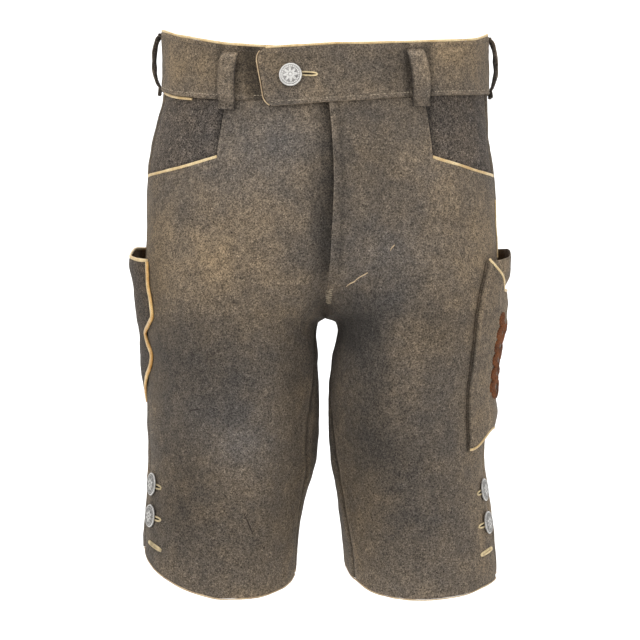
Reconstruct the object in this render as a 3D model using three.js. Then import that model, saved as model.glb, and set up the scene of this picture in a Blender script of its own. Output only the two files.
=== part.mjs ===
// Short leather breeches (lederhosen) in grey-brown suede, standing filled out as if worn.
// Millimetres, +Z up, front towards -Y. Left and right are the wearer's: the wearer's right is -X.
// The origin is the middle of the waist opening, halfway up the waistband.
// The cloth is a wall on one worked-out form: each side of the garment is an ellipse-like section per
// height, cut off at the middle plane above the crotch and a closed leg tube below it. A place on that
// form is (side, t, z): t runs from the middle front or inner leg (0) over the side (0.5) to the back (1).
import * as THREE from "three";

const LEATHER = 1.6; // panel wall
const BAND_LEATHER = 2.4; // waistband, leather doubled over
const POCKET_LEATHER = 1.8;
const LOOP_LEATHER = 2.6; // belt loop strips, folded double
const PIPING = { width: 2.6, thickness: 2.0 };
const GAP = 0.3; // between pieces that are sewn together
const LAYER = LEATHER + GAP; // one panel resting on another
const SEAM_T = 0.0007; // half a seam gap, as a share of the way round

const FORK_TOP = -165; // height where the two legs begin to part
const CROTCH = -251; // height of the crotch point
const SIDE_SEAM = 0.45; // t of the side seam

const LEFT = 1; // sign of x on the wearer's left
const RIGHT = -1;

// ---- The form: sections of each side -----------------------------------------------------------
// outer: side of the garment from the middle plane. front, back: depth from the side line.
// square: exponent of the outline, 2 is an ellipse.
const BODY = {
  [RIGHT]: [
    { z: 34, outer: 160, front: 103, back: 106, square: 2.25 },
    { z: -26, outer: 162, front: 109, back: 114, square: 2.25 },
    { z: -64, outer: 169, front: 113, back: 122, square: 2.3 },
    { z: -111, outer: 177, front: 117, back: 131, square: 2.35 },
    { z: -154, outer: 179, front: 119, back: 135, square: 2.4 },
    { z: -200, outer: 179, front: 120, back: 131, square: 2.4 },
    { z: -251, outer: 178, front: 117, back: 120, square: 2.3 },
    { z: -334, outer: 178, front: 106, back: 106, square: 2.2 },
    { z: -384, outer: 176, front: 99, back: 100, square: 2.15 },
    { z: -414, outer: 178, front: 96, back: 97, square: 2.15 },
    { z: -474, outer: 182, front: 92, back: 94, square: 2.1 },
    { z: -530, outer: 179, front: 89, back: 93, square: 2.1 },
  ],
  [LEFT]: [
    { z: 34, outer: 160, front: 103, back: 106, square: 2.25 },
    { z: -26, outer: 162, front: 109, back: 114, square: 2.25 },
    { z: -64, outer: 163, front: 113, back: 122, square: 2.3 },
    { z: -111, outer: 169, front: 117, back: 131, square: 2.35 },
    { z: -154, outer: 171, front: 119, back: 135, square: 2.4 },
    { z: -200, outer: 171, front: 120, back: 131, square: 2.4 },
    { z: -251, outer: 169, front: 117, back: 120, square: 2.3 },
    { z: -334, outer: 163, front: 106, back: 106, square: 2.2 },
    { z: -384, outer: 159, front: 99, back: 100, square: 2.15 },
    { z: -414, outer: 162, front: 96, back: 97, square: 2.15 },
    { z: -474, outer: 169, front: 92, back: 94, square: 2.1 },
    { z: -530, outer: 173, front: 89, back: 93, square: 2.1 },
  ],
};
// inner: the leg's inner side from the middle plane, below the crotch.
const INNER_LEG = {
  [RIGHT]: [
    { z: CROTCH, inner: 0 },
    { z: -256, inner: 8 },
    { z: -264, inner: 10 },
    { z: -290, inner: 7 },
    { z: -334, inner: 5 },
    { z: -390, inner: 9 },
    { z: -434, inner: 20 },
    { z: -480, inner: 26 },
    { z: -530, inner: 29 },
  ],
  [LEFT]: [
    { z: CROTCH, inner: 0 },
    { z: -256, inner: 11 },
    { z: -264, inner: 13 },
    { z: -290, inner: 7 },
    { z: -334, inner: 2.5 },
    { z: -390, inner: 6 },
    { z: -434, inner: 12 },
    { z: -480, inner: 18 },
    { z: -530, inner: 23 },
  ],
};
// How far the inner-leg seam has turned to the front, as t.
const INSEAM_TURN = {
  [RIGHT]: [
    { z: CROTCH, t: 0 },
    { z: -300, t: 0.06 },
    { z: -350, t: 0.09 },
    { z: -440, t: 0.05 },
    { z: -530, t: 0.03 },
  ],
  [LEFT]: [
    { z: CROTCH, t: 0 },
    { z: -300, t: 0.03 },
    { z: -380, t: 0.06 },
    { z: -450, t: 0.075 },
    { z: -530, t: 0.08 },
  ],
};
// The largest folds: centre, half width and half length in mm, lean (dt per mm down), height out (+).
const FOLDS = [
  { side: RIGHT, t: 0.075, z: -205, lean: 0.0011, width: 22, length: 62, height: -3.2 },
  { side: LEFT, t: 0.085, z: -222, lean: 0.0012, width: 26, length: 60, height: -5.5 },
  { side: LEFT, t: 0.14, z: -262, lean: 0.0004, width: 24, length: 80, height: 3 },
  { side: RIGHT, t: 0.13, z: -390, lean: 0, width: 18, length: 130, height: -2.6 },
  { side: LEFT, t: 0.12, z: -400, lean: 0.0002, width: 22, length: 120, height: -2.6 },
  { side: RIGHT, t: 0.27, z: -320, lean: -0.0002, width: 42, length: 90, height: 2.4 },
  { side: LEFT, t: 0.25, z: -360, lean: 0.0002, width: 40, length: 100, height: 2.2 },
  { side: RIGHT, t: 0.86, z: -215, lean: -0.0011, width: 26, length: 70, height: -4.5 },
  { side: LEFT, t: 0.87, z: -225, lean: -0.001, width: 26, length: 70, height: -4.5 },
  { side: RIGHT, t: 0.7, z: -300, lean: 0, width: 40, length: 110, height: 3 },
  { side: LEFT, t: 0.72, z: -310, lean: 0, width: 40, length: 110, height: 3 },
];

// A smooth value from a table sorted by key, either way: Hermite curves through its rows.
function read(rows, key, at, column) {
  const down = rows[0][key] > rows[rows.length - 1][key];
  const sorted = down ? [...rows].reverse() : rows;
  const last = sorted.length - 1;
  if (at <= sorted[0][key]) return sorted[0][column];
  if (at >= sorted[last][key]) return sorted[last][column];
  const i = sorted.findIndex((row, n) => n < last && at <= sorted[n + 1][key]);
  const rise = (n) => (sorted[n + 1][column] - sorted[n][column]) / (sorted[n + 1][key] - sorted[n][key]);
  const tangent = (n) => {
    if (n === 0) return rise(0);
    if (n === last) return rise(last - 1);
    const [a, b] = [rise(n - 1), rise(n)];
    return a * b <= 0 ? 0 : (2 * a * b) / (a + b);
  };
  const span = sorted[i + 1][key] - sorted[i][key];
  const u = (at - sorted[i][key]) / span;
  const [h0, h1] = [(1 + 2 * u) * (1 - u) ** 2, u * u * (3 - 2 * u)];
  const [g0, g1] = [u * (1 - u) ** 2, u * u * (u - 1)];
  return (
    h0 * sorted[i][column] + h1 * sorted[i + 1][column] + span * (g0 * tangent(i) + g1 * tangent(i + 1))
  );
}

const mix = (a, b, u) => a + (b - a) * u;
const smooth = (u) => {
  const c = Math.min(1, Math.max(0, u));
  return c * c * (3 - 2 * c);
};
const signedPower = (v, e) => Math.sign(v) * Math.abs(v) ** e;

// The section of one side at height z: the centre of its ellipse, its half widths towards the middle
// and the side, and where it starts.
function sectionAt(side, z) {
  const body = BODY[side];
  const [outer, front, back, square] = ["outer", "front", "back", "square"].map((c) => read(body, "z", z, c));
  let centre;
  let start = 0;
  if (z > CROTCH) {
    const down = Math.min(1, Math.max(0, (FORK_TOP - z) / (FORK_TOP - CROTCH)));
    const overlap = (1 - (1 - down ** 2) ** (square / 2)) ** (1 / square);
    centre = (outer * overlap) / (1 + overlap);
    start = Math.acos(overlap ** (square / 2));
  }
  const inner = z > CROTCH ? 0 : read(INNER_LEG[side], "z", z, "inner");
  if (z <= CROTCH) centre = (outer + inner * smooth((CROTCH - z) / 80)) / 2;
  const inHalf = z > CROTCH ? outer - centre : centre - inner;
  return { centre, inHalf, outHalf: outer - centre, front, back, power: 2 / square, start };
}

const outlines = new Map();
const OUTLINE_STEPS = 48;
// Points of that section from its inner front over the side to its inner back, with the length so far.
function outlineAt(side, z) {
  const name = side + "/" + z.toFixed(3);
  if (outlines.has(name)) return outlines.get(name);
  const s = sectionAt(side, z);
  const halves = [
    [s.start, Math.PI],
    [Math.PI, 2 * Math.PI - s.start],
  ].map(([from, to]) => {
    const line = [];
    let length = 0;
    for (let i = 0; i <= OUTLINE_STEPS; i++) {
      const a = from + ((to - from) * i) / OUTLINE_STEPS;
      const half = Math.cos(a) > 0 ? s.inHalf : s.outHalf;
      const x = s.centre - half * signedPower(Math.cos(a), s.power);
      const depth = Math.sin(a) > 0 ? s.front : s.back;
      const y = -depth * signedPower(Math.sin(a), s.power);
      if (i > 0) length += Math.hypot(x - line[i - 1].x, y - line[i - 1].y);
      line.push({ x, y, length });
    }
    return line;
  });
  outlines.set(name, halves);
  return halves;
}

// The length of the front or back half of a section, evened out where the legs part: near the crotch
// the true length grows fast, and only places close to the middle seam are to follow it.
const EVEN_BELOW = -320;
function evenLength(side, half, z) {
  const lengthAt = (height) => outlineAt(side, height)[half][OUTLINE_STEPS].length;
  if (z >= FORK_TOP || z <= EVEN_BELOW) return lengthAt(z);
  return mix(lengthAt(FORK_TOP), lengthAt(EVEN_BELOW), smooth((FORK_TOP - z) / (FORK_TOP - EVEN_BELOW)));
}

// A point of the form. t under 0 or over 1 goes on over the middle seam, or round the leg.
function formPoint(side, t, z) {
  if (t < 0 || t > 1) {
    const past = t < 0 ? -t : 2 - t;
    return z > CROTCH ? formPoint(-side, past, z) : formPoint(side, t < 0 ? t + 1 : t - 1, z);
  }
  const half = t <= 0.5 ? 0 : 1;
  const line = outlineAt(side, z)[half];
  const whole = line[OUTLINE_STEPS].length;
  const even = evenLength(side, half, z);
  const share = Math.abs(2 * t - 1);
  const fromSide = share * even - (even - whole) * share ** 3;
  const length = half === 0 ? whole - fromSide : fromSide;
  let i = line.findIndex((p) => p.length >= length - 1e-9);
  if (i < 0) i = OUTLINE_STEPS;
  if (i === 0) i = 1;
  const [a, b] = [line[i - 1], line[i]];
  const u = (length - a.length) / (b.length - a.length || 1);
  return new THREE.Vector3(side * (a.x + (b.x - a.x) * u), a.y + (b.y - a.y) * u, z);
}

const ROUND = 480; // mm round one side, near enough to turn t into length
function foldHeight(side, t, z) {
  let height = 0;
  for (const f of FOLDS) {
    if (f.side !== side) continue;
    const across = ((t - f.t - f.lean * (f.z - z)) * ROUND) / f.width;
    const along = (z - f.z) / f.length;
    height += f.height * Math.exp(-across * across) * Math.exp(-along * along);
  }
  return height;
}

const STEP = { t: 0.006, z: 2 };
function formNormal(side, t, z) {
  const round = formPoint(side, t + STEP.t, z).sub(formPoint(side, t - STEP.t, z));
  const up = formPoint(side, t, z + STEP.z).sub(formPoint(side, t, z - STEP.z));
  return side > 0 ? round.cross(up).normalize() : up.cross(round).normalize();
}

// A place on the form, lifted out by so many mm, with its outward direction.
function place(side, t, z, lift = 0) {
  const normal = formNormal(side, t, z);
  const out = lift + foldHeight(side, t, z);
  return { point: formPoint(side, t, z).addScaledVector(normal, out), normal };
}

// t at which the front of a section has this distance from the middle plane.
function tAtX(side, x, z) {
  let [low, high] = [0, 0.5];
  for (let i = 0; i < 30; i++) {
    const mid = (low + high) / 2;
    if (side * formPoint(side, mid, z).x < x) low = mid;
    else high = mid;
  }
  return low;
}

// ---- Walls ------------------------------------------------------------------------------------
// A closed wall from a grid of places: the outer face at the places, the inner face a thickness in.
// has(row, column) says whether a cell is there.
function wall(grid, thickness, has = () => true) {
  const [rows, columns] = [grid.length, grid[0].length];
  const positions = [];
  for (const deep of [0, thickness])
    for (const row of grid)
      for (const spot of row) positions.push(...spot.point.clone().addScaledVector(spot.normal, -deep).toArray());
  const inward = rows * columns;
  const id = (r, c) => r * columns + c;
  const cell = (r, c) => r >= 0 && c >= 0 && r < rows - 1 && c < columns - 1 && has(r, c);
  const index = [];
  const quad = (a, b, c, d) => index.push(a, b, c, a, c, d);
  for (let r = 0; r < rows - 1; r++)
    for (let c = 0; c < columns - 1; c++) {
      if (!cell(r, c)) continue;
      const [a, b, d, e] = [id(r, c), id(r, c + 1), id(r + 1, c + 1), id(r + 1, c)];
      quad(a, b, d, e);
      quad(inward + a, inward + e, inward + d, inward + b);
      const sides = [
        [cell(r - 1, c), b, a],
        [cell(r, c + 1), d, b],
        [cell(r + 1, c), e, d],
        [cell(r, c - 1), a, e],
      ];
      for (const [joined, from, to] of sides) if (!joined) quad(from, to, inward + to, inward + from);
    }
  return facingOut(positions, index);
}

// A geometry from positions and triangles, turned so that its faces point out.
function facingOut(positions, index) {
  const corner = (i) => new THREE.Vector3().fromArray(positions, index[i] * 3);
  let volume = 0;
  for (let i = 0; i < index.length; i += 3) volume += corner(i).dot(corner(i + 1).cross(corner(i + 2)));
  if (volume < 0) for (let i = 0; i < index.length; i += 3) [index[i + 1], index[i + 2]] = [index[i + 2], index[i + 1]];
  return new THREE.BufferGeometry()
    .setAttribute("position", new THREE.Float32BufferAttribute(positions, 3))
    .setIndex(index);
}

const steps = (count) => Array.from({ length: count + 1 }, (_, i) => i / count);

// A narrow strip of leather along a line of places, laid flat on the form, moved aside by so many mm.
function strip(line, width, thickness, lift = 0, aside = 0) {
  const rows = line.map((spot, i) => {
    const before = line[Math.max(0, i - 1)].point;
    const after = line[Math.min(line.length - 1, i + 1)].point;
    const across = after.clone().sub(before).cross(spot.normal).normalize();
    return [-0.5, 0.5].map((edge) => ({
      point: spot.point.clone().addScaledVector(across, edge * width + aside).addScaledVector(spot.normal, lift),
      normal: spot.normal,
    }));
  });
  return wall(rows, thickness);
}

// ---- Edges of the waistband, the fly, the pocket mouths and the hems ----------------------------------
// Heights of the waistband's edges. s is t on the left side, 2 - t on the right, and under 0 on the tab.
const BAND_EDGES = [
  { s: -0.16, top: 5, bottom: -51 },
  { s: 0, top: 9, bottom: -46 },
  { s: 0.2, top: 13, bottom: -39 },
  { s: 0.36, top: 19, bottom: -34 },
  { s: 0.5, top: 29, bottom: -29 },
  { s: 1, top: 24, bottom: -32 },
  { s: 1.5, top: 33, bottom: -25 },
  { s: 1.66, top: 21, bottom: -36 },
  { s: 1.8, top: 10, bottom: -42 },
  { s: 2, top: 4, bottom: -44 },
];
const bandEdge = (s, column) => read(BAND_EDGES, "s", s, column);
const UNDER_BAND = 7; // how far the panels run up under the waistband

const sideOf = (s) => (s < 0 || s > 1 ? RIGHT : LEFT);
const tOf = (s) => (s < 0 ? -s : s > 1 ? 2 - s : s);
const sAt = (side, t) => (side === LEFT ? t : 2 - t);

// Distance from the middle plane of the fly's edge, on the left front, which laps over the right.
const FLY_EDGE = [
  { z: -30, x: 1 },
  { z: -70, x: 6 },
  { z: -115, x: 8 },
  { z: -165, x: 6 },
  { z: -224, x: 3 },
  { z: CROTCH, x: 0 },
];
const MM_TO_T = 1 / 455; // near the middle front
const flyEdge = (z) => (z > CROTCH ? read(FLY_EDGE, "z", z, "x") * MM_TO_T : 0);
const FLY_BOTTOM = -205;

const MOUTH = { inner: 104, top: -98, drop: 14.5 }; // front pocket mouth: its inner corner and its dip
const mouthStart = (side, z) => tAtX(side, mix(97, MOUTH.inner, smooth((-40 - z) / 60)), z);
function mouthHeight(side, t) {
  const start = mouthStart(side, MOUTH.top);
  const u = Math.min(1, Math.max(0, (t - start) / (SIDE_SEAM - start)));
  return MOUTH.top - MOUTH.drop * (1 - (1 - u) ** 2);
}

// Hem heights round each leg.
const HEM = {
  [RIGHT]: [
    { t: -0.02, z: -498 },
    { t: 0.04, z: -506 },
    { t: 0.1, z: -516 },
    { t: 0.18, z: -522.5 },
    { t: 0.24, z: -523 },
    { t: 0.28, z: -519 },
    { t: 0.32, z: -513 },
    { t: 0.36, z: -505 },
    { t: 0.4, z: -496 },
    { t: 0.43, z: -488 },
    { t: 0.45, z: -479 },
  ],
  [LEFT]: [
    { t: -0.02, z: -496 },
    { t: 0.04, z: -501 },
    { t: 0.08, z: -508 },
    { t: 0.15, z: -520 },
    { t: 0.24, z: -524 },
    { t: 0.31, z: -521 },
    { t: 0.38, z: -514 },
    { t: 0.45, z: -508 },
  ],
};
const BACK_HEM = {
  [RIGHT]: { side: -478, middle: -490, inseam: -502 },
  [LEFT]: { side: -504, middle: -500, inseam: -505 },
};
const frontHem = (side, t) => read(HEM[side], "t", t, "z");
function backHem(side, t) {
  const { side: atSide, middle, inseam } = BACK_HEM[side];
  const rows = [
    { t: SIDE_SEAM, z: atSide },
    { t: 0.72, z: middle },
    { t: 1, z: frontHem(side, -0.02) },
    { t: 1.09, z: inseam },
  ];
  return read(rows, "t", t, "z");
}
const inseamTurn = (side, z) => (z > CROTCH ? 0 : read(INSEAM_TURN[side], "z", z, "t"));

// ---- Front and back panels ----------------------------------------------------------------------
const TRUNK_ROWS = [-120, -150, -178, -202, -222, -236, -244.5, -249, CROTCH + 0.05];
const LEG_ROWS = [-253, -256, -264, -284, -312, -345, -385, -425, -465];
const BAND_LEVEL = -30;
const HEM_LEVEL = -505;
const INNER_COLUMNS = 6;
const MOUTH_COLUMNS = 5;
const BACK_COLUMNS = 10;
const CORNER_ROW = 3; // the front's row that runs along the pocket mouth
const FRONT_ROWS = [0, 0.15, 0.5, "mouth", ...TRUNK_ROWS, ...LEG_ROWS, "hem"];
const BACK_ROWS = ["band", "below", -70, -95, ...TRUNK_ROWS, ...LEG_ROWS, "hem"];

// t of the front's columns at a height: from the fly or inner-leg seam, by the mouth's corner, to the side.
function frontColumns(side, level) {
  const corner = mouthStart(side, Math.max(level, MOUTH.top - 1));
  const lap = side === LEFT ? flyEdge(level) : -flyEdge(level);
  const from = (level > CROTCH ? lap : inseamTurn(side, level)) + SEAM_T;
  const inner = steps(INNER_COLUMNS).map((u) => mix(from, corner, u));
  const outer = steps(MOUTH_COLUMNS).map((u) => mix(corner, SIDE_SEAM - SEAM_T, u));
  return [...inner, ...outer.slice(1)];
}
const backColumns = (side, level) =>
  steps(BACK_COLUMNS).map((u) => mix(SIDE_SEAM + SEAM_T, 1 + inseamTurn(side, level) - SEAM_T, u));
const underBand = (side, t) => bandEdge(sAt(side, Math.min(1, Math.max(0, t))), "bottom") + UNDER_BAND;

const FLAP_LIFT = 2.1; // how far the fly's upper edge stands out
// The front's places, row by row, lifted out by so many mm. lapped: with the fly's edge standing out.
function frontGrid(side, lift = 0, lapped = true) {
  return FRONT_ROWS.map((row, r) => {
    const level = r < CORNER_ROW ? -40 : row === "mouth" ? MOUTH.top : row === "hem" ? HEM_LEVEL : row;
    return frontColumns(side, level).map((t, c, all) => {
      let z = row;
      if (r < CORNER_ROW) z = mix(underBand(side, t), MOUTH.top, row);
      if (row === "mouth") z = c > INNER_COLUMNS ? mouthHeight(side, t) : MOUTH.top;
      if (row === "hem") z = frontHem(side, t);
      const flap = lapped && side === LEFT && z > FLY_BOTTOM ? FLAP_LIFT * smooth(1 - (t - all[0]) / 0.05) : 0;
      return place(side, t, z, lift + flap);
    });
  });
}
function backGrid(side, lift = 0) {
  return BACK_ROWS.map((row) => {
    const level = row === "hem" ? HEM_LEVEL : typeof row === "number" ? row : BAND_LEVEL;
    return backColumns(side, level).map((t) => {
      const heights = { band: underBand(side, t), below: underBand(side, t) - UNDER_BAND - 3, hem: backHem(side, t) };
      return place(side, t, heights[row] ?? row, lift);
    });
  });
}
const frontPanel = (side) => wall(frontGrid(side), LEATHER, (r, c) => r >= CORNER_ROW || c < INNER_COLUMNS);
const backPanel = (side) => wall(backGrid(side), LEATHER);

const between = (a, b, u) => ({
  point: a.point.clone().lerp(b.point, u),
  normal: a.normal.clone().lerp(b.normal, u).normalize(),
});

// The dark piece behind a front pocket's mouth, from the waistband down into the pocket.
function pocketFacing(side) {
  const grid = frontGrid(side, -LAYER, false).map((row) => row.slice(INNER_COLUMNS - 1));
  const last = grid[CORNER_ROW].map((spot, c) => between(spot, grid[CORNER_ROW + 1][c], 0.9));
  return wall([...grid.slice(0, CORNER_ROW + 1), last], LEATHER);
}

// The strip under the fly's edge, which fills the opening.
const FLY_ROWS = [0, CORNER_ROW + 5];
const FLY_COLUMNS = 2;
function flyUnderlap() {
  const [right, left] = [RIGHT, LEFT].map((side) => frontGrid(side, -LAYER - 1, false).slice(...FLY_ROWS));
  const grid = right.map((row, r) => {
    const middle = between(row[0], left[r][0], 0.5);
    return [...row.slice(1, FLY_COLUMNS).reverse(), middle, ...left[r].slice(1, FLY_COLUMNS + 1)];
  });
  return wall(grid, LEATHER);
}

// The strip under the leg's slit at the hem, which carries its buttons.
const SLIT_ROWS = 4;
const SLIT_COLUMNS = 2;
function slitUnderlap(side) {
  const grid = frontGrid(side, -LAYER, false).slice(-SLIT_ROWS).map((row) => row.slice(-SLIT_COLUMNS - 1));
  const [above, hem] = grid.slice(-2);
  return wall([...grid.slice(0, -1), above.map((spot, c) => between(spot, hem[c], 0.85))], LEATHER);
}

// ---- Waistband, its piping and its belt loops ---------------------------------------------------
const BAND_LIFT = GAP + BAND_LEATHER; // outer face of the band over the panels
const TAB_END = -0.152;
const UNDER_END = 1.955;
const TAB = { slant: 0.026, corner: 0.022 };
const bandLift = (s) => BAND_LIFT + (BAND_LEATHER + GAP) * smooth((0.1 - s) / 0.09);

// Where the tab's end lies at a share v of its height, with round corners.
function tabEnd(v) {
  const rounding = 0.22;
  const into = Math.max(0, Math.abs(v - 0.5) - (0.5 - rounding)) / rounding;
  return TAB_END + TAB.slant * (1 - v) + TAB.corner * (1 - Math.sqrt(1 - into * into * 0.96));
}

// Columns of the band past the tab, at those of the panels under it.
const BAND_COLUMNS = [
  ...frontColumns(LEFT, BAND_LEVEL).filter((t) => t > 0.02),
  ...backColumns(LEFT, BAND_LEVEL),
  ...backColumns(RIGHT, BAND_LEVEL).reverse().map((t) => 2 - t),
  ...frontColumns(RIGHT, BAND_LEVEL).reverse().map((t) => 2 - t),
].filter((s, i, all) => s < UNDER_END - 0.01 && (i === 0 || s - all[i - 1] > 0.01));
const TAB_COLUMNS = [-0.083, -0.042, 0];
const BAND_ROWS = [0, 0.2, 0.6, 1];
const bandColumns = (v) => [
  tabEnd(v),
  mix(tabEnd(v), TAB_COLUMNS[0], 0.5),
  ...TAB_COLUMNS,
  ...BAND_COLUMNS,
  UNDER_END,
];
function waistband() {
  const grid = BAND_ROWS.map((v) =>
    bandColumns(v).map((s) => {
      const z = mix(bandEdge(s, "bottom"), bandEdge(s, "top"), v);
      return place(sideOf(s), tOf(s), z, bandLift(s));
    }),
  );
  return wall(grid, BAND_LEATHER);
}

const PIPED = PIPING.width / 2 + GAP;
// The light piping along the waistband's upper edge, from the tab's end right round.
function waistbandPiping() {
  const line = bandColumns(1).map((s, i) => {
    const at = i === 0 ? s + 0.004 : s;
    return place(sideOf(at), tOf(at), bandEdge(at, "top") + PIPED, bandLift(at) - 0.2);
  });
  return strip(line, PIPING.width, PIPING.thickness);
}
// The piping down the tab's end.
function tabPiping() {
  const line = steps(12).map((u) => {
    const v = mix(0.97, 0.03, u);
    const s = tabEnd(v) - 0.0048;
    return place(RIGHT, -s, mix(bandEdge(s, "bottom"), bandEdge(s, "top"), v), bandLift(s) - 0.2);
  });
  return strip(line, PIPING.width * 0.8, PIPING.thickness);
}

// A belt loop stands off the band between its two sewn ends.
const LOOPS = [
  { name: "belt_loop_front_right", s: 1.788, width: 17, stand: 8.5, below: 10, under: 7 },
  { name: "belt_loop_front_left", s: 0.205, width: 18, stand: 7.5, below: 10, under: 7 },
  { name: "belt_loop_side_right", s: 1.5, width: 17, stand: 7.5, below: 5, under: 1 },
  { name: "belt_loop_side_left", s: 0.5, width: 17, stand: 6, below: 4, under: 1 },
  { name: "belt_loop_back", s: 1, width: 18, stand: 7.5, below: 8, under: 5 },
];
function beltLoop({ s, width, stand, below, under }) {
  const half = (width / 2) * MM_TO_T;
  const top = bandEdge(s, "top") - under;
  const bottom = bandEdge(s, "bottom") - below;
  const grid = steps(9).map((v) =>
    [-1, 0, 1].map((edge) => {
      const here = s + edge * half;
      const arch = Math.sin(Math.PI * Math.min(1, Math.max(0, (v - 0.04) / 0.82))) ** 0.55;
      return place(sideOf(here), tOf(here), mix(top, bottom, v), BAND_LIFT + GAP + LOOP_LEATHER + stand * arch);
    }),
  );
  return wall(grid, LOOP_LEATHER);
}

// ---- Piping of the pocket mouths, the side seam and the hems --------------------------------------
function mouthPiping(side) {
  const line = frontColumns(side, MOUTH.top).slice(INNER_COLUMNS).map((t, i) => {
    const at = i === 0 ? t + 0.004 : t;
    return place(side, at, mouthHeight(side, at) + PIPED + 0.2, 0.3);
  });
  return strip(line, PIPING.width, PIPING.thickness);
}
// The watch pocket's edge, just under the waistband on the right facing.
function watchPocketPiping() {
  const line = frontColumns(RIGHT, BAND_LEVEL).slice(-3).map((t, i) => {
    const at = i === 2 ? t - 0.003 : t;
    return place(RIGHT, at, bandEdge(2 - at, "bottom") - PIPED - 0.3, 0.3);
  });
  return strip(line, PIPING.width, 1.6);
}
const SEAM_PIPING = { top: -135, bottom: -192 };
function sideSeamPiping() {
  const line = steps(6).map((u) => place(LEFT, SIDE_SEAM, mix(SEAM_PIPING.top, SEAM_PIPING.bottom, u), 2));
  return strip(line, 1.8, 1.6);
}
function hemPiping(side, grid) {
  const down = new THREE.Vector3(0, 0, -PIPED - 0.1);
  const line = grid[grid.length - 1].map((spot) => ({ point: spot.point.clone().add(down), normal: spot.normal }));
  return strip(line, PIPING.width, LEATHER + 0.2, 0.1);
}

// ---- Side pockets ---------------------------------------------------------------------------------
// Patch pockets that stand off the leg and are open at the top. from, to: t of the front and back
// edge at each height. stand: how far the outer face stands off.
const KNIFE_POCKET = [
  { z: -183, from: 0.402, to: 0.655, stand: 13.5 },
  { z: -197, from: 0.398, to: 0.66, stand: 13.5 },
  { z: -215, from: 0.396, to: 0.662, stand: 9.5 },
  { z: -249, from: 0.395, to: 0.668, stand: 6.5 },
  { z: -268, from: 0.452, to: 0.64, stand: 5 },
  { z: -287, from: 0.42, to: 0.656, stand: 4 },
  { z: -318, from: 0.47, to: 0.615, stand: 2.6 },
  { z: -334, from: 0.52, to: 0.58, stand: 2 },
];
const CARGO_POCKET = [
  { z: -183, from: 0.365, to: 0.63, stand: 11.5 },
  { z: -209, from: 0.344, to: 0.63, stand: 10 },
  { z: -224, from: 0.337, to: 0.63, stand: 5 },
  { z: -238, from: 0.336, to: 0.63, stand: 7 },
  { z: -249, from: 0.338, to: 0.63, stand: 7.2 },
  { z: -279, from: 0.347, to: 0.63, stand: 3.6 },
  { z: -304, from: 0.353, to: 0.63, stand: 2.4 },
  { z: -330, from: 0.359, to: 0.63, stand: 1.6 },
  { z: -347, from: 0.362, to: 0.63, stand: 4.4 },
  { z: -360, from: 0.365, to: 0.63, stand: 3 },
  { z: -382, from: 0.368, to: 0.63, stand: 1.6 },
];
// Rise of the mouth's edge from front to back.
const MOUTH_RISE = { [RIGHT]: { front: -197, back: -183 }, [LEFT]: { front: -197, back: -182 } };
const POCKET_GAP = 0.7; // under the sewn edges, which bridge the bends of the leg
const WALL_SHARE = 0.27; // share of the width in which the pocket's side wall rises
const KNIFE_TIP = -334;
const KNIFE_ROWS = 15;
const CARGO_ROWS = 14;
const OVERLAY_ROWS = 11;

const crown = (u) => Math.sin((Math.PI / 2) * Math.min(1, Math.min(u, 1 - u) / WALL_SHARE));
function pocketPlace(side, table, u, z, extra = 0) {
  const [from, to, stand] = ["from", "to", "stand"].map((c) => read(table, "z", z, c));
  return place(side, mix(from, to, u), z, POCKET_GAP + POCKET_LEATHER + stand * crown(u) + extra);
}
// The notched lower edge of the cargo pocket, and the rising mouth of both.
const pocketTop = (side, u) => mix(MOUTH_RISE[side].front, MOUTH_RISE[side].back, smooth(u * 1.4));
const CARGO_NOTCH = { depth: 20, share: 0.3 };
const cargoBottom = (u) => -382 + CARGO_NOTCH.depth * smooth(Math.min(u, 1 - u) / CARGO_NOTCH.share);

const POCKET_COLUMNS = [0, 0.07, 0.16, 0.27, 0.42, 0.58, 0.73, 0.84, 0.93, 1];
function sidePocket(side, table, rows, bottom) {
  const grid = steps(rows).map((v) =>
    POCKET_COLUMNS.map((u) => pocketPlace(side, table, u, mix(pocketTop(side, u), bottom(u), v))),
  );
  return wall(grid, POCKET_LEATHER);
}

// The cargo pocket's second layer, with notched upper and lower edges.
const OVERLAY = { front: -199, dip: 27, share: 0.27 };
const overlayTop = (u) => OVERLAY.front - OVERLAY.dip * smooth(Math.min(u, 1 - u) / OVERLAY.share);
const OVERLAY_LIFT = LEATHER + 1.2;
// A place on the cargo pocket's own face, moved out by so many mm.
function onCargo(u, z, out) {
  const [top, bottom] = [pocketTop(LEFT, u), cargoBottom(u)];
  const at = Math.min(CARGO_ROWS - 0.001, Math.max(0, (CARGO_ROWS * (z - top)) / (bottom - top)));
  const row = Math.floor(at);
  const ends = [row, row + 1].map((r) => pocketPlace(LEFT, CARGO_POCKET, u, mix(top, bottom, r / CARGO_ROWS)));
  const { point, normal } = between(...ends, at - row);
  return { point: point.addScaledVector(normal, out), normal };
}
function cargoOverlay() {
  const grid = steps(OVERLAY_ROWS).map((v) =>
    POCKET_COLUMNS.map((u) => onCargo(u, mix(overlayTop(u), cargoBottom(u) + 4, v), OVERLAY_LIFT)),
  );
  return wall(grid, LEATHER);
}
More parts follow.
